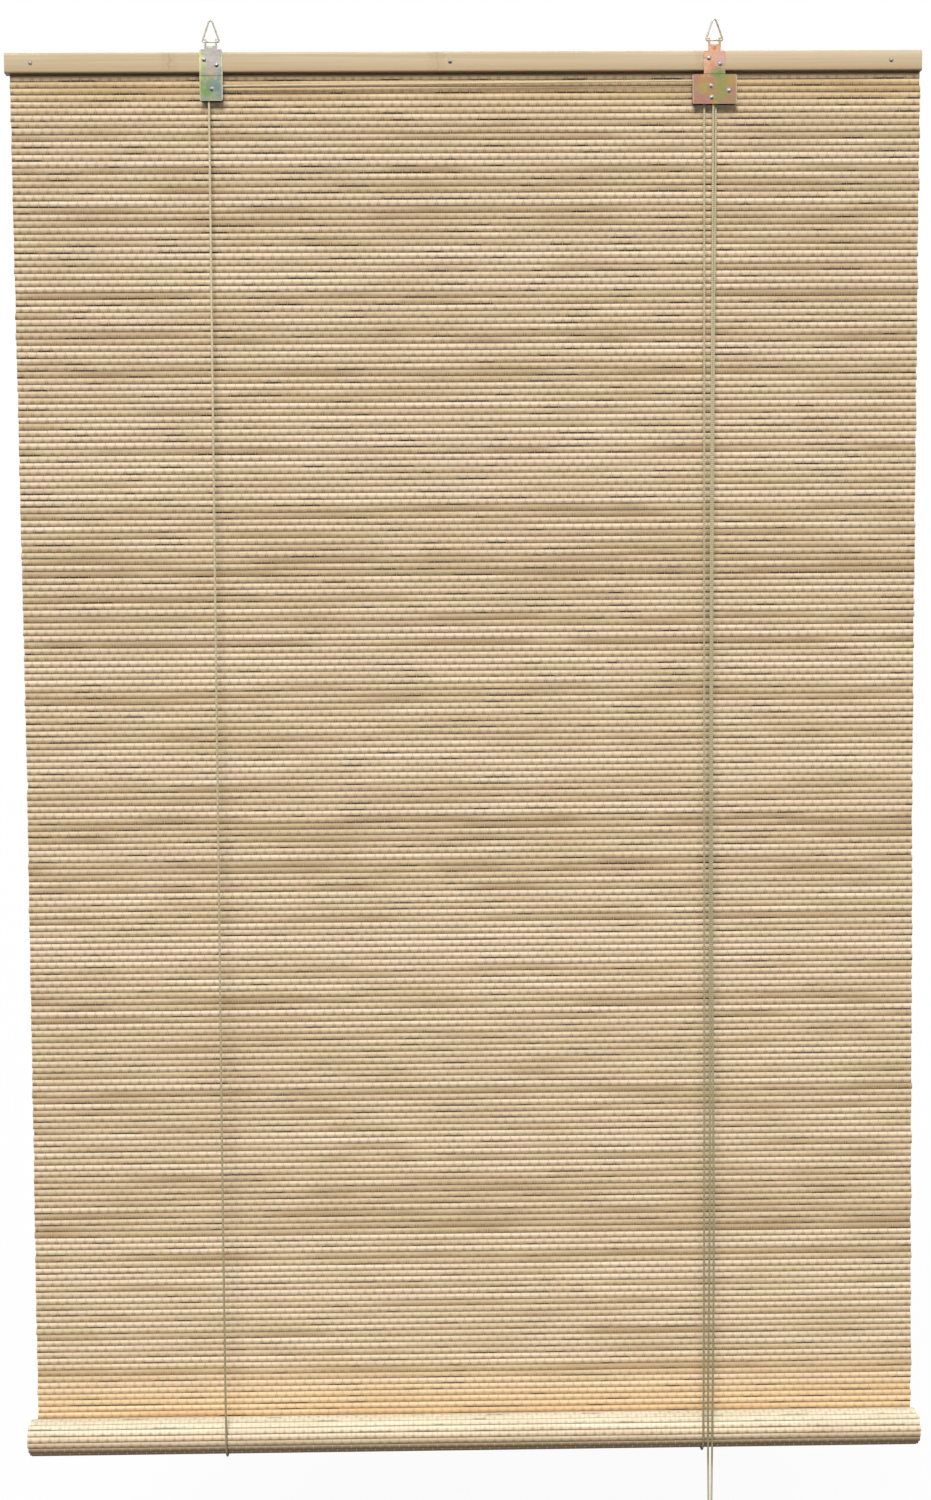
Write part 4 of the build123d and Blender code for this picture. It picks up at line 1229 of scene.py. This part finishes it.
def floor_material():
    """A pale floor that shows almost as white as the background and keeps a soft shadow."""
    material, tree, shader = new_material("Pale floor", Roughness=0.9)
    seen = seen_directly(tree)
    dark, pale = (0.12, 0.12, 0.12, 1), (0.86, 0.86, 0.86, 1)
    fill(tree, shader, {"Base Color": blend_colours(tree, seen, dark, pale)})
    glow = add_node(tree, "ShaderNodeEmission", {"Color": (1, 1, 1, 1), "Strength": 1.0})
    share = times(tree, seen, FLOOR_GLOW)
    both = add_node(tree, "ShaderNodeMixShader", {0: share, 1: shader.outputs[0], 2: glow.outputs[0]})
    fill(tree, tree.nodes["Material Output"], {"Surface": both.outputs[0]})
    return material


class BLIND_OT_stage(bpy.types.Operator):
    """Set the floor, the white background, the soft light and the camera"""

    bl_idname = "blind.stage"
    bl_label = "Set the stage"

    def execute(self, context):
        self.floor()
        self.background(context.scene)
        self.light("Key", (-8, 36), 3.0, 26)
        self.light("Fill", (30, 8), 0.15, 60)
        self.light("Back", (165, 25), 1.2, 40)
        self.camera(context.scene)
        context.scene.view_settings.view_transform = "Standard"
        return {"FINISHED"}

    def floor(self):
        """A wide pale floor below the hanging blind."""
        mesh = bmesh.new()
        bmesh.ops.create_grid(mesh, x_segments=1, y_segments=1, size=FLOOR_SIZE)
        bmesh.ops.translate(mesh, vec=(0, 4, FLOOR_LEVEL), verts=mesh.verts)
        data = bpy.data.meshes.new("floor")
        mesh.to_mesh(data)
        mesh.free()
        data.materials.append(floor_material())
        floor = bpy.data.objects.new("floor", data)
        bpy.context.scene.collection.objects.link(floor)

    def background(self, scene):
        """White where it is seen, and a softer white where it lights the object."""
        world = bpy.data.worlds.new("Background")
        world.use_nodes = True
        tree = world.node_tree
        tree.nodes.clear()
        lit, white = (
            add_node(tree, "ShaderNodeBackground", {"Color": (1, 1, 1, 1), "Strength": strength}).outputs[0]
            for strength in (0.3, 1.0))
        both = add_node(tree, "ShaderNodeMixShader", {0: seen_directly(tree), 1: lit, 2: white})
        add_node(tree, "ShaderNodeOutputWorld", {"Surface": both.outputs[0]})
        scene.world = world

    def light(self, name, direction, strength, softness):
        """A soft sun from a side and a height, in degrees."""
        data = bpy.data.lights.new(name, "SUN")
        data.energy = strength
        data.angle = radians(softness)
        lamp = bpy.data.objects.new(name, data)
        side, rise = (radians(angle) for angle in direction)
        towards = Vector((sin(side) * cos(rise), -cos(side) * cos(rise), sin(rise)))
        lamp.rotation_euler = towards.to_track_quat("Z", "Y").to_euler()
        lamp.location = towards * 4
        bpy.context.scene.collection.objects.link(lamp)

    def camera(self, scene):
        """The photograph's viewpoint, from its fitted place and turns."""
        data = bpy.data.cameras.new("Camera")
        data.sensor_fit = "VERTICAL"
        data.sensor_height = 36
        data.lens = 36 * FOCAL_LENGTH_PX / IMAGE_HEIGHT_PX
        data.clip_end = 60
        yaw, pitch, roll = (radians(angle) for angle in (CAMERA_YAW, CAMERA_PITCH, CAMERA_ROLL))
        ahead = Vector((sin(yaw) * cos(pitch), cos(yaw) * cos(pitch), sin(pitch)))
        level = Vector((cos(yaw), -sin(yaw), 0))
        upright = level.cross(ahead)
        right = level * cos(roll) + upright * sin(roll)
        up = upright * cos(roll) - level * sin(roll)
        camera = bpy.data.objects.new("Camera", data)
        turned = Matrix((right, up, -ahead)).transposed().to_4x4()
        camera.matrix_world = Matrix.Translation(place(*CAMERA_SPOT)) @ turned
        scene.collection.objects.link(camera)
        scene.camera = camera


class BLIND_PT_panel(bpy.types.Panel):
    """The blind's sizes, colours and steps"""

    bl_label = "Bamboo blind"
    bl_idname = "BLIND_PT_panel"
    bl_space_type = "VIEW_3D"
    bl_region_type = "UI"
    bl_category = "Blind"

    def draw(self, context):
        for step in STEPS:
            self.layout.operator(step.bl_idname)
        for group in (context.scene.blind_sizes, context.scene.blind_colours):
            box = self.layout.box()
            for name in group.__annotations__:
                box.prop(group, name)


STEPS = (BLIND_OT_stage, BLIND_OT_rail, BLIND_OT_brackets, BLIND_OT_lock, BLIND_OT_mat, BLIND_OT_roll,
         BLIND_OT_lift_cords, BLIND_OT_pull_cords)
CLASSES = (BlindSizes, BlindColours, *STEPS, BLIND_PT_panel)


def register():
    for cls in CLASSES:
        bpy.utils.register_class(cls)
    bpy.types.Scene.blind_sizes = PointerProperty(type=BlindSizes)
    bpy.types.Scene.blind_colours = PointerProperty(type=BlindColours)


def unregister():
    del bpy.types.Scene.blind_colours
    del bpy.types.Scene.blind_sizes
    for cls in reversed(CLASSES):
        bpy.utils.unregister_class(cls)


def main():
    """Makes every piece in order."""
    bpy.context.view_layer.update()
    register()
    bpy.ops.blind.stage()
    bpy.ops.blind.rail()
    bpy.ops.blind.brackets()
    bpy.ops.blind.lock()
    bpy.ops.blind.mat()
    bpy.ops.blind.roll()
    bpy.ops.blind.lift_cords()
    bpy.ops.blind.pull_cords()


if __name__ == "__main__":
    main()
